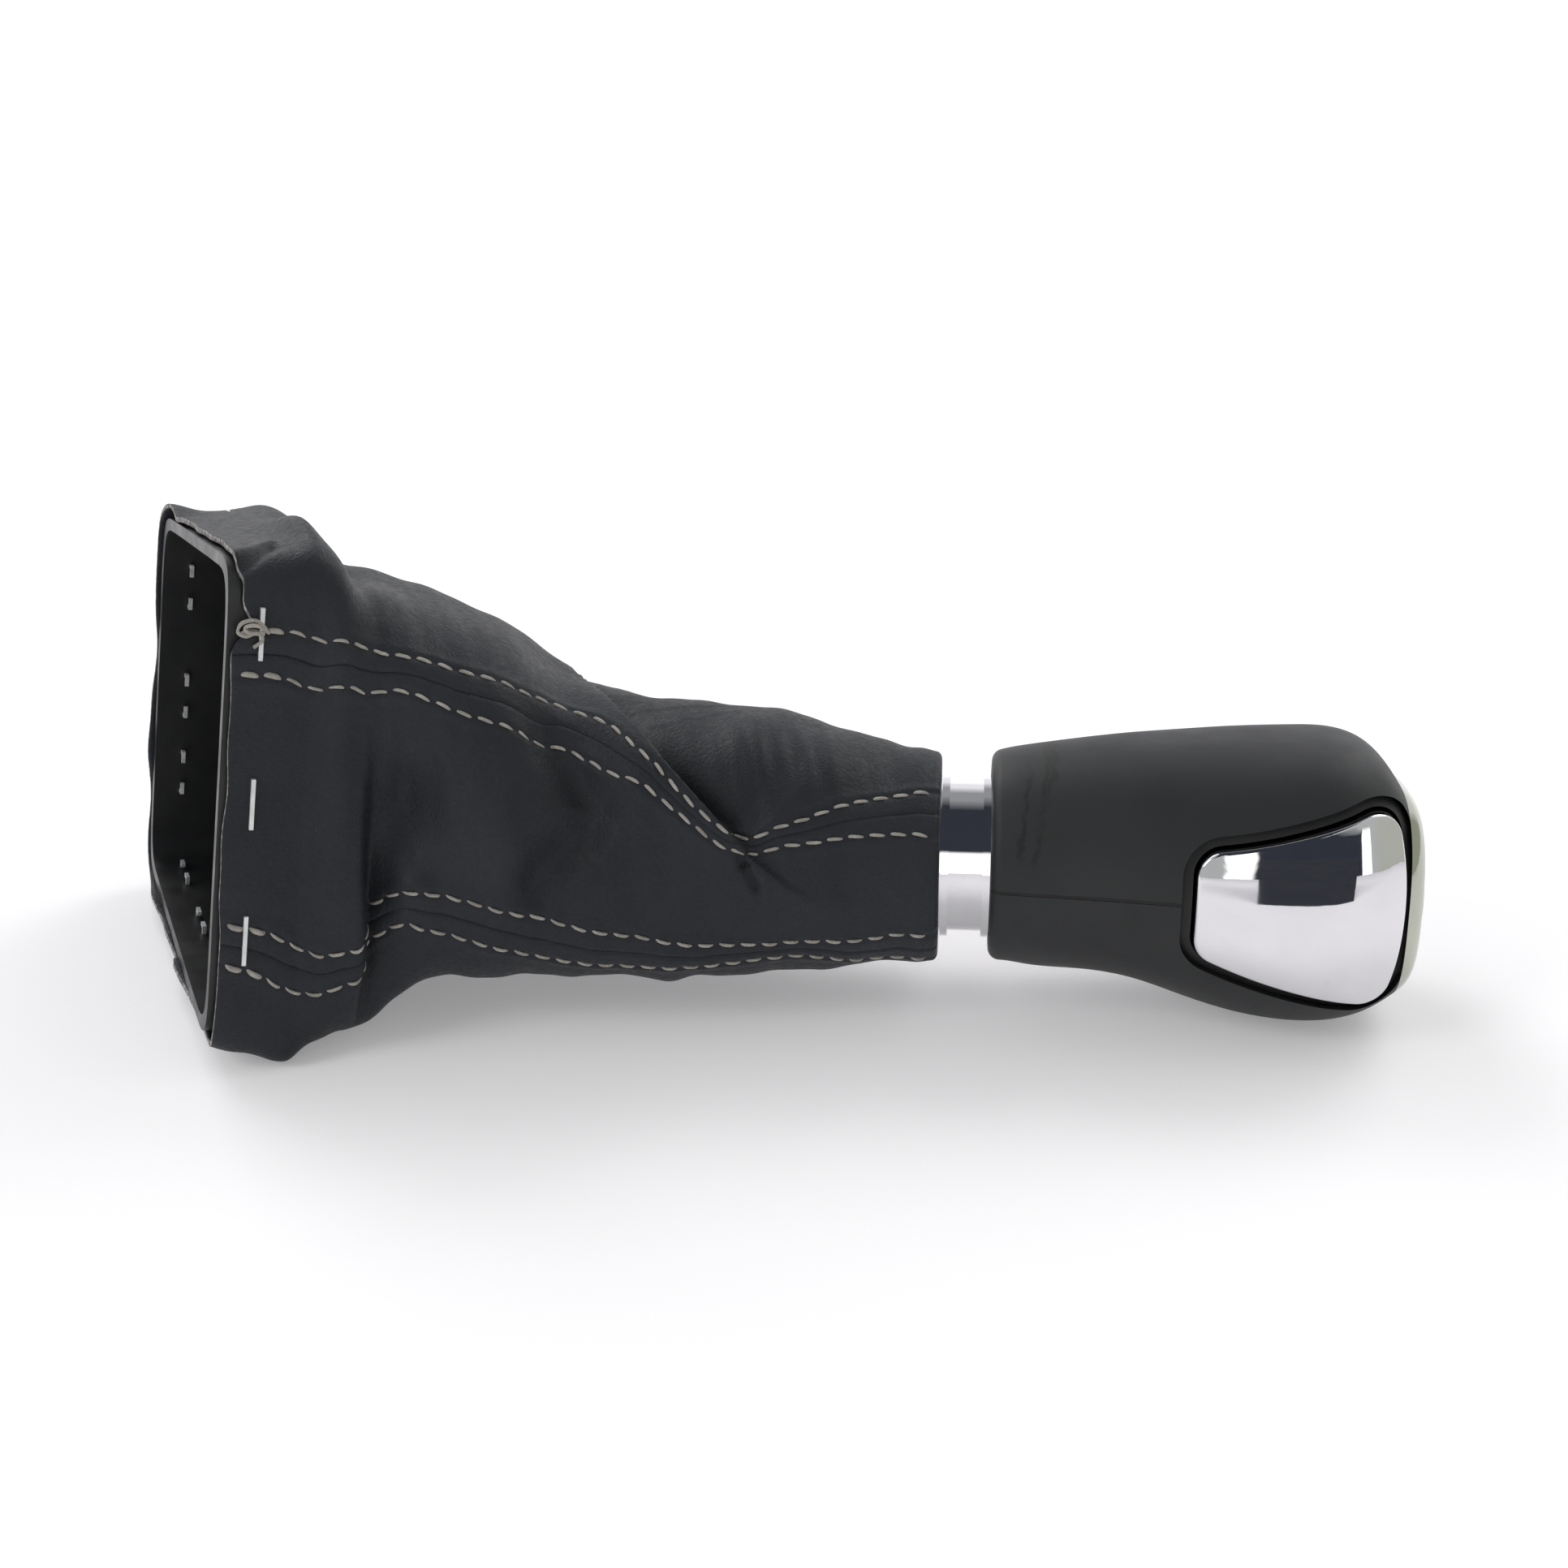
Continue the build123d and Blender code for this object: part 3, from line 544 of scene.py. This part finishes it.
# Materials: scales are in cells per metre, depths and places in metres
LEATHER_TONES = ((0.0152, 0.0166, 0.0202), (0.0250, 0.0272, 0.0328))
LEATHER_DUST = (0.10, 0.10, 0.10)
LEATHER_DUST_SHARE = 0.30
LEATHER_ROUGH = (0.46, 0.62)
LEATHER_GLOSS = 0.22
PEBBLE_SCALE = 880.0
PEBBLE_EDGE = 0.28
PEBBLE_DEPTH = 0.00010
PEBBLE_WARP = 0.0016
DIMPLE_DEPTH = 0.00035
PORE_DEPTH = 0.00004


def leather_material():
    made, tree, shader = material("black_leather")
    link = tree.links.new
    base = mottled(tree, 26.0, 5.0, LEATHER_TONES)
    dust = span(tree, noise(tree, 420.0, 6.0, 0.7), 0.66, 0.80, 0.0, LEATHER_DUST_SHARE)
    link(mix(tree, dust, base, LEATHER_DUST), shader.inputs["Base Color"])
    link(uneven(tree, 700.0, 3.0, LEATHER_ROUGH), shader.inputs["Roughness"])
    shader.inputs["Specular IOR Level"].default_value = LEATHER_GLOSS
    where = coords(tree)
    warp = node(tree, "ShaderNodeTexNoise", Scale=240.0, Detail=2.0)
    link(where, warp.inputs["Vector"])
    bent = node(tree, "ShaderNodeMixRGB", blend_type="LINEAR_LIGHT")
    bent.inputs[0].default_value = PEBBLE_WARP
    link(where, bent.inputs[1])
    link(warp.outputs["Color"], bent.inputs[2])
    cells = node(tree, "ShaderNodeTexVoronoi", feature="DISTANCE_TO_EDGE", Scale=PEBBLE_SCALE)
    link(bent.outputs[0], cells.inputs["Vector"])
    pebbles = rising(tree, cells.outputs["Distance"], 0.0, PEBBLE_EDGE)
    grain = bump(tree, shader, pebbles, PEBBLE_DEPTH, 0.55)
    grain = bump(tree, shader, noise(tree, 190.0, 4.0), DIMPLE_DEPTH, 0.35, after=grain)
    bump(tree, shader, noise(tree, 2600.0, 2.0), PORE_DEPTH, 0.35, after=grain)
    return made


EDGE_STOPS = [(0.30, (0.05, 0.05, 0.05)), (0.52, (0.22, 0.21, 0.20)), (0.72, (0.52, 0.50, 0.48))]
EDGE_ROUGH = 0.85
EDGE_DEPTH = 0.0002


def cut_edge_material():
    made, tree, shader = material("leather_cut_edge")
    tree.links.new(ramp(tree, noise(tree, 900.0, 4.0), EDGE_STOPS), shader.inputs["Base Color"])
    shader.inputs["Roughness"].default_value = EDGE_ROUGH
    bump(tree, shader, noise(tree, 1500.0, 3.0), EDGE_DEPTH, 0.6)
    return made


THREAD_TONES = ((0.26, 0.24, 0.215), (0.42, 0.39, 0.355))
THREAD_ROUGH = 0.62
TWIST_SCALE = 620.0
TWIST_DEPTH = 0.00012


def thread_material():
    made, tree, shader = material("light_grey_thread")
    tree.links.new(mottled(tree, 420.0, 3.0, THREAD_TONES), shader.inputs["Base Color"])
    shader.inputs["Roughness"].default_value = THREAD_ROUGH
    twist = node(tree, "ShaderNodeTexWave", Scale=TWIST_SCALE, Distortion=1.5, Detail=2.0)
    twist.bands_direction = "DIAGONAL"
    tree.links.new(coords(tree), twist.inputs["Vector"])
    bump(tree, shader, twist.outputs["Fac"], TWIST_DEPTH, 0.6)
    return made


GRIP_TONES = ((0.0105, 0.0115, 0.0126), (0.0160, 0.0170, 0.0186))
# colour of the rubbed scuff lines, and of the painted shade along the parting line between the two shells
GRIP_SCUFF_AND_SHADE = (0.004, 0.004, 0.0045)
GRIP_ROUGH = (0.50, 0.62)
GRIP_GLOSS = 0.44
GRIP_GRAIN_DEPTH = 0.00003
PARTING_EDGE = (0.00018, 0.00036)
PARTING_DEPTH = 0.0004
# rubbed lines on the button side: X, lowest and highest Z
SCUFFS = ((0.0307, 0.008, 0.020), (0.0341, 0.008, 0.028), (0.0354, 0.018, 0.028))
SCUFF_HALF = 0.0003
SCUFF_EDGE = 0.0005
SCUFF_END = 0.003
SCUFF_RAGGED = 0.0006
SCUFF_LEAN = -0.12
SCUFF_SHARE = 0.9
SCUFF_SIDE = (0.000, 0.006)


def scuff(tree, axes, place, low, high):
    """A rubbed line across the grip at one X, between two heights on the button side."""
    x, y, z = axes
    ragged = span(tree, noise(tree, 260.0, 4.0), 0.35, 0.65, -SCUFF_RAGGED, SCUFF_RAGGED)
    lean = maths(tree, "MULTIPLY", z, SCUFF_LEAN)
    line = maths(tree, "ADD", maths(tree, "ADD", x, lean), ragged)
    mark = between(tree, line, place - SCUFF_HALF, place + SCUFF_HALF, SCUFF_EDGE)
    worn = span(tree, noise(tree, 150.0, 3.0), 0.36, 0.50, 0.0, SCUFF_SHARE)
    return product(tree, mark, between(tree, z, low, high, SCUFF_END), falling(tree, y, *SCUFF_SIDE), worn)


def grip_material():
    made, tree, shader = material("soft_touch_black")
    link = tree.links.new
    base = mottled(tree, 30.0, 5.0, GRIP_TONES)
    split = node(tree, "ShaderNodeSeparateXYZ")
    link(coords(tree), split.inputs[0])
    axes = split.outputs
    # painted shade: the parting line where the two shells meet without a gap is darkened in the colour, as
    # well as bumped
    parting = falling(tree, maths(tree, "ABSOLUTE", axes[2]), *PARTING_EDGE)
    dark = parting
    for place, low, high in SCUFFS:
        dark = maths(tree, "MAXIMUM", dark, scuff(tree, axes, place, low, high))
    link(mix(tree, dark, base, GRIP_SCUFF_AND_SHADE), shader.inputs["Base Color"])
    link(uneven(tree, 90.0, 5.0, GRIP_ROUGH), shader.inputs["Roughness"])
    shader.inputs["Specular IOR Level"].default_value = GRIP_GLOSS
    grain = bump(tree, shader, noise(tree, 3600.0, 2.0), GRIP_GRAIN_DEPTH, 0.45)
    bump(tree, shader, maths(tree, "SUBTRACT", 1.0, parting), PARTING_DEPTH, 0.8, after=grain)
    return made


SMEAR_COLOUR = (0.44, 0.43, 0.42)
SMEAR_SHARE = 0.22
CHROME_ROUGH = (0.025, 0.075)
CHROME_WAVE_DEPTH = 0.00002


def chrome_material(name, dark, light):
    made, tree, shader = material(name)
    link = tree.links.new
    tone = mottled(tree, 60.0, 4.0, (dark, light))
    smear = span(tree, noise(tree, 130.0, 7.0, 0.75), 0.60, 0.74, 0.0, SMEAR_SHARE)
    link(mix(tree, smear, tone, SMEAR_COLOUR), shader.inputs["Base Color"])
    shader.inputs["Metallic"].default_value = 1.0
    link(span(tree, noise(tree, 120.0, 6.0, 0.7), 0.5, 0.8, *CHROME_ROUGH), shader.inputs["Roughness"])
    bump(tree, shader, noise(tree, 55.0, 2.0), CHROME_WAVE_DEPTH, 0.2)
    return made


def plastic_material(name, dark, light, rough, grain, depth):
    made, tree, shader = material(name)
    tree.links.new(mottled(tree, 45.0, 5.0, (dark, light)), shader.inputs["Base Color"])
    tree.links.new(uneven(tree, 160.0, 4.0, rough), shader.inputs["Roughness"])
    bump(tree, shader, noise(tree, grain, 3.0), depth, 0.4)
    return made


STEEL_TONES = ((0.62, 0.62, 0.63), (0.84, 0.84, 0.84))
STEEL_GRAIN_DEPTH = 0.00003


def steel_material(name, rough, metallic):
    made, tree, shader = material(name)
    tree.links.new(mottled(tree, 350.0, 4.0, STEEL_TONES), shader.inputs["Base Color"])
    shader.inputs["Metallic"].default_value = metallic
    tree.links.new(uneven(tree, 700.0, 3.0, rough), shader.inputs["Roughness"])
    bump(tree, shader, noise(tree, 2500.0, 2.0), STEEL_GRAIN_DEPTH, 0.4)
    return made


leather = leather_material()
cut_edge = cut_edge_material()
thread = thread_material()
soft_grip = grip_material()
chrome = chrome_material("polished_chrome", (0.68, 0.67, 0.69), (0.74, 0.73, 0.75))
smoked = chrome_material("smoked_chrome", (0.40, 0.41, 0.35), (0.46, 0.47, 0.40))
gloss = plastic_material("gloss_black_plastic", (0.008, 0.008, 0.008), (0.014, 0.014, 0.012),
                         (0.10, 0.20), 900.0, 0.00002)
recess = plastic_material("recess_black_plastic", (0.007, 0.007, 0.0075), (0.011, 0.011, 0.012),
                          (0.50, 0.62), 2500.0, 0.00003)
moulded = plastic_material("moulded_frame_plastic", (0.009, 0.0095, 0.0105), (0.015, 0.0155, 0.017),
                           (0.34, 0.48), 700.0, 0.00004)
inner = plastic_material("plain_inner_plastic", (0.055, 0.056, 0.06), (0.08, 0.08, 0.085),
                         (0.45, 0.60), 1200.0, 0.00004)
steel = steel_material("bright_steel", (0.18, 0.34), 1.0)
wire = steel_material("staple_wire", (0.30, 0.50), 0.4)

# Finish of each CAD node
finishes = {
    soft_grip: ("upper_grip_shell", "lower_grip_shell"),
    chrome: ("thumb_button", "collar"),
    smoked: ("top_bezel",),
    recess: ("button_surround",),
    gloss: ("top_cap",),
    moulded: ("gaiter_frame",),
    inner: ("knob_core", "button_stem", "release_slider", "spring_plug", "gaiter_neck_ring"),
    steel: ("button_spring", "cap_screws", "lever_screws"),
    wire: ("frame_staples",),
}
for finish, names in finishes.items():
    for name in names:
        mesh = nodes[name].data
        mesh.materials.clear()
        mesh.materials.append(finish)

# Leather panels
ROWS_ALONG = 215
ROLL_STEPS = 6
EDGE_CROWDING = 0.085
NARROW_COLUMNS = 84
WIDE_COLUMNS = 110
SETTLE_ROUNDS = 3


def panel_grid(low_seam, high_seam, columns):
    """Places of a panel's points: along and turn, closer together near its seams."""
    even = np.linspace(0, 1, columns)
    shares = even - EDGE_CROWDING * np.sin(2 * math.pi * even)
    rows = np.linspace(0, 1, ROWS_ALONG)[:, None]
    along = hem_start(0.0) + rows * (NECK - hem_start(0.0)) + 0 * shares
    for _ in range(SETTLE_ROUNDS):
        low = on_line(along, low_seam)
        high = on_line(along, high_seam)
        high = np.where(high < low, high + 360, high)
        turn = low + shares * (high - low)
        start = hem_start(turn[0])
        along = start + rows * (NECK - start)
    return along, turn


def neck_edge(end):
    """Rows where the leather turns in over the neck ring, down to the collar."""
    rows = []
    for k in range(1, ROLL_STEPS + 1):
        angle = k / ROLL_STEPS * math.pi / 2
        row = end.copy()
        row[:, 1:] *= 1 - THICKNESS * NECK_TURN_IN * (1 - math.cos(angle)) / NECK_RADIUS
        row[:, 0] += NECK_ROLL * math.sin(angle)
        rows.append(row)
    lip = rows[-1].copy()
    lip[:, 1:] *= COLLAR_HOLE / np.linalg.norm(lip[:, 1:], axis=1)[:, None]
    back = lip - (THICKNESS, 0, 0)
    return rows + [lip, back]


def panel(name, low_seam, high_seam, columns, cad_node):
    """One leather panel between two seams: outer face, turned-in end, inner face and the edges."""
    along, turn = panel_grid(low_seam, high_seam, columns)
    outer = leather_point(along, turn)
    lining = leather_point(along, turn, -THICKNESS)
    end = neck_edge(outer[-1])
    hold = lining[-1].copy()
    hold[:, 0] = end[-1][:, 0]
    layers = [*outer, *end, hold, *lining[-2::-1]]
    count = len(layers)
    faces = []
    marks = []
    for i in range(count):
        here, after = i * columns, (i + 1) % count * columns
        for j in range(columns - 1):
            faces.append((here + j, here + j + 1, after + j + 1, after + j))
            marks.append(int(after == 0))
    for j in (0, columns - 1):
        for i in range(ROWS_ALONG - 1):
            quad = tuple(row * columns + j for row in (i, i + 1, count - 2 - i, count - 1 - i))
            faces.append(quad[::-1] if j else quad)
            marks.append(0)
        cap = tuple(i * columns + j for i in range(ROWS_ALONG - 1, count - ROWS_ALONG + 1))
        faces.append(cap[::-1] if j else cap)
        marks.append(0)
    piece = new_piece(name, np.concatenate(layers) * MM, faces, [leather, cut_edge], marks)
    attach(piece, "knob")
    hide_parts(cad_node)
    return piece


near_leather = panel("near_leather", SEAM_B, SEAM_A, NARROW_COLUMNS, "gaiter_near_panel")
top_leather = panel("top_leather", SEAM_A, SEAM_C, WIDE_COLUMNS, "gaiter_top_panel")
far_leather = panel("far_leather", SEAM_C, SEAM_D, NARROW_COLUMNS, "gaiter_far_panel")
bottom_leather = panel("bottom_leather", SEAM_D, SEAM_B, WIDE_COLUMNS, "gaiter_bottom_panel")

# Topstitching
STITCH_PITCH = 4.25
STITCH_SHARE = 0.87
STITCH_RADIUS = 0.36
BACKTACK_RADIUS = 0.58
BACKTACK_STITCHES = 2
STITCH_RISE = 0.22
STITCH_DIP = 0.62
STITCH_SLANT = 0.22
STITCH_SIDES = 8
STITCH_RINGS = 9
STITCH_TIP = 0.05
ROW_START = -13.6
ROW_END_GAP = 0.3
ROW_SAMPLES = 900
TAIL_RADIUS = 0.42
TAIL_RINGS = 40
# loose ends of thread at the frame: along, turn and height over the leather
THREAD_TAILS = (
    ((-9.0, 34.6, 0.5), (-11.2, 35.8, 0.7), (-13.6, 35.4, 0.8), (-14.4, 34.2, 0.8), (-13.0, 33.4, 0.9),
     (-11.0, 33.9, 1.0), (-9.8, 33.0, 0.7), (-11.4, 31.9, 0.5)),
    ((-8.5, 34.2, 0.5), (-11.0, 34.9, 1.1), (-13.2, 34.6, 1.2), (-12.2, 33.8, 1.2), (-9.5, 34.0, 0.8)),
)


def tube(centres, normals, sizes, points, faces):
    """A round thread along some centres, with closed ends."""
    first = len(points)
    ahead = np.gradient(centres, axis=0)
    ahead /= np.linalg.norm(ahead, axis=1)[:, None]
    across = np.cross(ahead, normals)
    for centre, normal, side, size in zip(centres, normals, across, sizes):
        for k in range(STITCH_SIDES):
            angle = 2 * math.pi * k / STITCH_SIDES
            points.append((centre + size * (side * math.cos(angle) + normal * math.sin(angle))) * MM)
    rings = len(centres)
    for i in range(rings - 1):
        for k in range(STITCH_SIDES):
            after = (k + 1) % STITCH_SIDES
            here, there = first + i * STITCH_SIDES, first + (i + 1) * STITCH_SIDES
            faces.append((here + k, here + after, there + after, there + k))
    faces.append(tuple(range(first + STITCH_SIDES - 1, first - 1, -1)))
    last = first + (rings - 1) * STITCH_SIDES
    faces.append(tuple(range(last, last + STITCH_SIDES)))


def stitch_row(seam, rows, side, points, faces):
    """Stitches along one row beside a seam, each a bowed thread sunk at both ends."""
    along = np.linspace(ROW_START, NECK - ROW_END_GAP, ROW_SAMPLES)
    middle = on_line(along, seam)
    rate = degrees_per_mm(along, middle)
    turn = middle + side * on_line(along, rows) * rate * seam_lean(seam, along, rate)
    line = leather_point(along, turn)
    above = leather_point(along, turn, 1.0)
    length = np.concatenate([[0], np.cumsum(np.linalg.norm(np.diff(line, axis=0), axis=1))])
    shares = np.linspace(-1, 1, STITCH_RINGS)
    count = round(length[-1] / STITCH_PITCH)
    pitch = length[-1] / count
    for k in range(count):
        radius = BACKTACK_RADIUS if k < BACKTACK_STITCHES else STITCH_RADIUS
        at = pitch * (k + STITCH_SHARE * (shares + 1) / 2)
        spots = np.stack([np.interp(at, length, line[:, c]) for c in range(3)], -1)
        normals = np.stack([np.interp(at, length, above[:, c]) for c in range(3)], -1) - spots
        normals /= np.linalg.norm(normals, axis=1)[:, None]
        ahead = np.gradient(spots, axis=0)
        sideways = np.cross(ahead, normals)
        sideways /= np.linalg.norm(sideways, axis=1)[:, None]
        rise = STITCH_RISE - STITCH_DIP * np.abs(shares) ** 3
        centres = spots + normals * rise[:, None] + sideways * (STITCH_SLANT * shares)[:, None]
        sizes = radius * np.sqrt(np.maximum(1 - np.abs(shares) ** 4, STITCH_TIP))
        tube(centres, normals, sizes, points, faces)


def thread_tail(route, points, faces):
    """A loose end of thread over the leather: along, turn and height over it."""
    along, turn, lift = np.array(route, float).T
    even = np.linspace(0, len(route) - 1, TAIL_RINGS)
    number = np.arange(len(route))
    along, turn, lift = (smooth(even, number, values) for values in (along, turn, lift))
    centres = leather_point(along, turn, lift)
    normals = leather_point(along, turn, lift + 1.0) - centres
    normals /= np.linalg.norm(normals, axis=1)[:, None]
    tube(centres, normals, np.full(len(even), TAIL_RADIUS), points, faces)


stitch_points = []
stitch_faces = []
for seam, rows in SEAMS:
    for side in (-1, 1):
        stitch_row(seam, rows, side, stitch_points, stitch_faces)
for route in THREAD_TAILS:
    thread_tail(route, stitch_points, stitch_faces)
stitches = new_piece("topstitching", stitch_points, stitch_faces, [thread])
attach(stitches, "knob")


# Return spring, as one fixed coil
SPRING_X = 85.0
SPRING_START = 6.55
SPRING_LENGTH = 9.9
SPRING_RADIUS = 3.2
SPRING_WIRE = 0.45
SPRING_TURNS = 6
SPRING_RINGS = 24


def return_spring():
    share = np.linspace(0, 1, SPRING_RINGS * SPRING_TURNS + 1)
    angle = 2 * math.pi * SPRING_TURNS * share
    outwards = np.stack([np.cos(angle), 0 * angle, np.sin(angle)], -1)
    centres = SPRING_RADIUS * outwards
    centres += np.stack([0 * share + SPRING_X, SPRING_START + SPRING_LENGTH * share, 0 * share], -1)
    points = []
    faces = []
    tube(centres, outwards, np.full(len(share), SPRING_WIRE), points, faces)
    piece = new_piece("return_spring", points, faces, [steel])
    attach(piece, "knob")
    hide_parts("button_spring")
    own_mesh(piece)


return_spring()


# Floor: it touches the lowest points of the head and of the gaiter's two lower corners
FAR_CORNER_Y = 0.02
TABLE_TONES = ((0.90, 0.885, 0.90), (0.885, 0.87, 0.885))
TABLE_ROUGH = 0.7
TABLE_GLOW = 0.26
FAR_GLOW = 0.75
GLOW_REACH = (0.3, 3.0)
FLOOR_SIZE = 6.0


def lowest(piece, keep):
    spots = [vertex.co for vertex in piece.data.vertices if keep(vertex.co)]
    return min(spots, key=lambda spot: spot.z)


def floor_plane():
    near = lowest(bottom_leather, lambda spot: spot.y < 0)
    far = lowest(bottom_leather, lambda spot: spot.y > FAR_CORNER_Y)
    head = lowest(nodes["lower_grip_shell"], lambda spot: True)
    way = (far - near).cross(head - near).normalized()
    way = way if way.z > 0 else -way
    pieces = [near_leather, bottom_leather, far_leather, stitches]
    pieces += [nodes["lower_grip_shell"], nodes["top_bezel"]]
    height = min(way.dot(vertex.co) for piece in pieces for vertex in piece.data.vertices)
    return way, height


def table_material():
    made, tree, shader = material("pale_table")
    link = tree.links.new
    split = node(tree, "ShaderNodeSeparateXYZ")
    link(coords(tree), split.inputs[0])
    colour = mottled(tree, 3.0, 3.0, TABLE_TONES)
    glow = span(tree, split.outputs[1], *GLOW_REACH, TABLE_GLOW, FAR_GLOW)
    link(colour, shader.inputs["Base Color"])
    shader.inputs["Roughness"].default_value = TABLE_ROUGH
    shader.inputs["Specular IOR Level"].default_value = 0.0
    link(colour, shader.inputs["Emission Color"])
    link(glow, shader.inputs["Emission Strength"])
    return made


way, height = floor_plane()


def on_floor(x, y):
    return (x, y, (height - way.x * x - way.y * y) / way.z)


corners = [on_floor(x * FLOOR_SIZE, y * FLOOR_SIZE) for x, y in ((-1, -1), (1, -1), (1, 1), (-1, 1))]
floor = new_piece("floor", corners, [(0, 1, 2, 3)], [table_material()], shade_smooth=False)

# Card below the picture, which carries the dark room in the button's reflection on down the table
CARD_TONES = ((0.038, 0.042, 0.050), (0.044, 0.048, 0.057))
CARD_ROUGH = 0.9
CARD_FRONT = -0.195
CARD_FRONT_X = (0.086, 0.178)
CARD_MIDDLE_X = 0.13
CARD_BACK = -0.42
CARD_BACK_X = (0.094, 0.300)
CARD_RISE = 0.05


def card_material():
    made, tree, shader = material("black_card")
    tree.links.new(mottled(tree, 40.0, 3.0, CARD_TONES), shader.inputs["Base Color"])
    shader.inputs["Roughness"].default_value = CARD_ROUGH
    shader.inputs["Specular IOR Level"].default_value = 0.0
    return made


front_z = on_floor(CARD_MIDDLE_X, CARD_FRONT)[2]
card_corners = [(CARD_FRONT_X[0], CARD_FRONT, front_z), (CARD_FRONT_X[1], CARD_FRONT, front_z),
                (CARD_BACK_X[1], CARD_BACK, CARD_RISE), (CARD_BACK_X[0], CARD_BACK, CARD_RISE)]
card = new_piece("card", card_corners, [(0, 1, 2, 3)], [card_material()], shade_smooth=False)


# Light: zones are parts of the direction's X, Y or Z, from low to high, some with a soft edge
ROOM_COLOUR = (0.035, 0.040, 0.052)
WALL_COLOUR = (0.95, 0.95, 0.97)
FRONT_COLOUR = (0.50, 0.52, 0.51)
OVERHEAD_COLOUR = (0.34, 0.35, 0.36)
RIGHT_COLOUR = (0.48, 0.50, 0.44)
WORLD_STRENGTH = 1.1
HORIZON_Z = (-0.14, -0.12)
NEAR_HALF_Y = (-0.25, 0.05)
FRONT_Y = (-0.45, -0.35)
FRONT_TOP_Z = (0.38, 0.46)
CEILING_X = (-0.30, 0.06, 0.02)
CEILING_BACK_Y = (0.10, 0.45)
OVERHEAD_X = (-0.25, 0.25, 0.05)
OVERHEAD_Y = (0.0, 0.1)
OVERHEAD_Z = (0.45, 0.70)
RIGHT_X = (0.70, 0.80)
# what stands on the camera's side, from left to right: X to X and its colour
FRONT_BANDS = (
    (-0.50, -0.02, FRONT_COLOUR),
    (-0.02, 0.04, (1.60, 1.60, 1.55)),
    (0.04, 0.52, ROOM_COLOUR),
    (0.52, 0.64, (1.90, 1.90, 1.85)),
)
BAND_EDGE = 0.008
# name, place, aim, side length and power
LAMPS = (
    ("back_left", (-0.75, 0.8, 1.2), (0, 0, 0), 0.8, 6),
    ("back_right", (0.75, 0.8, 1.2), (0, 0, 0), 0.8, 5),
    ("front_left", (-1.1, -0.9, 0.9), (-0.05, 0, 0.02), 0.6, 5),
)


def studio_world():
    """White behind and above, and on the camera's side a dim room between two bright strips."""
    world = bpy.data.worlds.new("soft_studio")
    world.use_nodes = True
    tree = world.node_tree
    split = node(tree, "ShaderNodeSeparateXYZ")
    tree.links.new(tree.nodes.new("ShaderNodeTexCoord").outputs["Generated"], split.inputs[0])
    x, y, z = split.outputs
    above = rising(tree, z, *HORIZON_Z)
    near_half = product(tree, falling(tree, y, *NEAR_HALF_Y), above)
    front = product(tree, falling(tree, y, *FRONT_Y), above, falling(tree, z, *FRONT_TOP_Z))
    ceiling = product(tree, between(tree, x, *CEILING_X), above, falling(tree, y, *CEILING_BACK_Y))
    overhead = product(tree, between(tree, x, *OVERHEAD_X), rising(tree, y, *OVERHEAD_Y))
    overhead = product(tree, overhead, rising(tree, z, *OVERHEAD_Z))
    right_side = product(tree, rising(tree, x, *RIGHT_X), above)
    colour = mix(tree, near_half, WALL_COLOUR, FRONT_COLOUR)
    colour = mix(tree, overhead, colour, OVERHEAD_COLOUR)
    colour = mix(tree, right_side, colour, RIGHT_COLOUR)
    colour = mix(tree, ceiling, colour, ROOM_COLOUR)
    for left, right, shade in FRONT_BANDS:
        band = product(tree, between(tree, x, left, right, BAND_EDGE), front)
        colour = mix(tree, band, colour, shade)
    background = tree.nodes["Background"]
    tree.links.new(colour, background.inputs[0])
    background.inputs[1].default_value = WORLD_STRENGTH
    return world


def lamp(name, place, aim, size, power):
    data = bpy.data.lights.new(name, "AREA")
    data.shape = "RECTANGLE"
    data.size = size
    data.size_y = size
    data.energy = power
    made = bpy.data.objects.new(name, data)
    made.location = place
    made.rotation_euler = (Vector(aim) - Vector(place)).to_track_quat("-Z", "Y").to_euler()
    scene.collection.objects.link(made)


scene.world = studio_world()
for values in LAMPS:
    lamp(*values)

# Camera
CAMERA_PLACE = Vector((18.8, -425.0, 153.2)) * MM
CAMERA_PITCH = math.radians(18.0)
CAMERA_YAW = math.radians(4.7)
CAMERA_SENSOR = 36.0
CAMERA_LENS = 50.3
level = math.cos(CAMERA_PITCH)
ahead = Vector((-math.sin(CAMERA_YAW) * level, math.cos(CAMERA_YAW) * level, -math.sin(CAMERA_PITCH)))
right = Vector((math.cos(CAMERA_YAW), math.sin(CAMERA_YAW), 0))
camera_data = bpy.data.cameras.new("camera")
camera_data.sensor_width = CAMERA_SENSOR
camera_data.lens = CAMERA_LENS
camera = bpy.data.objects.new("camera", camera_data)
facing = Matrix((right, right.cross(ahead), -ahead)).transposed().to_4x4()
camera.matrix_world = Matrix.Translation(CAMERA_PLACE) @ facing
scene.collection.objects.link(camera)
scene.camera = camera
scene.view_settings.view_transform = "Standard"
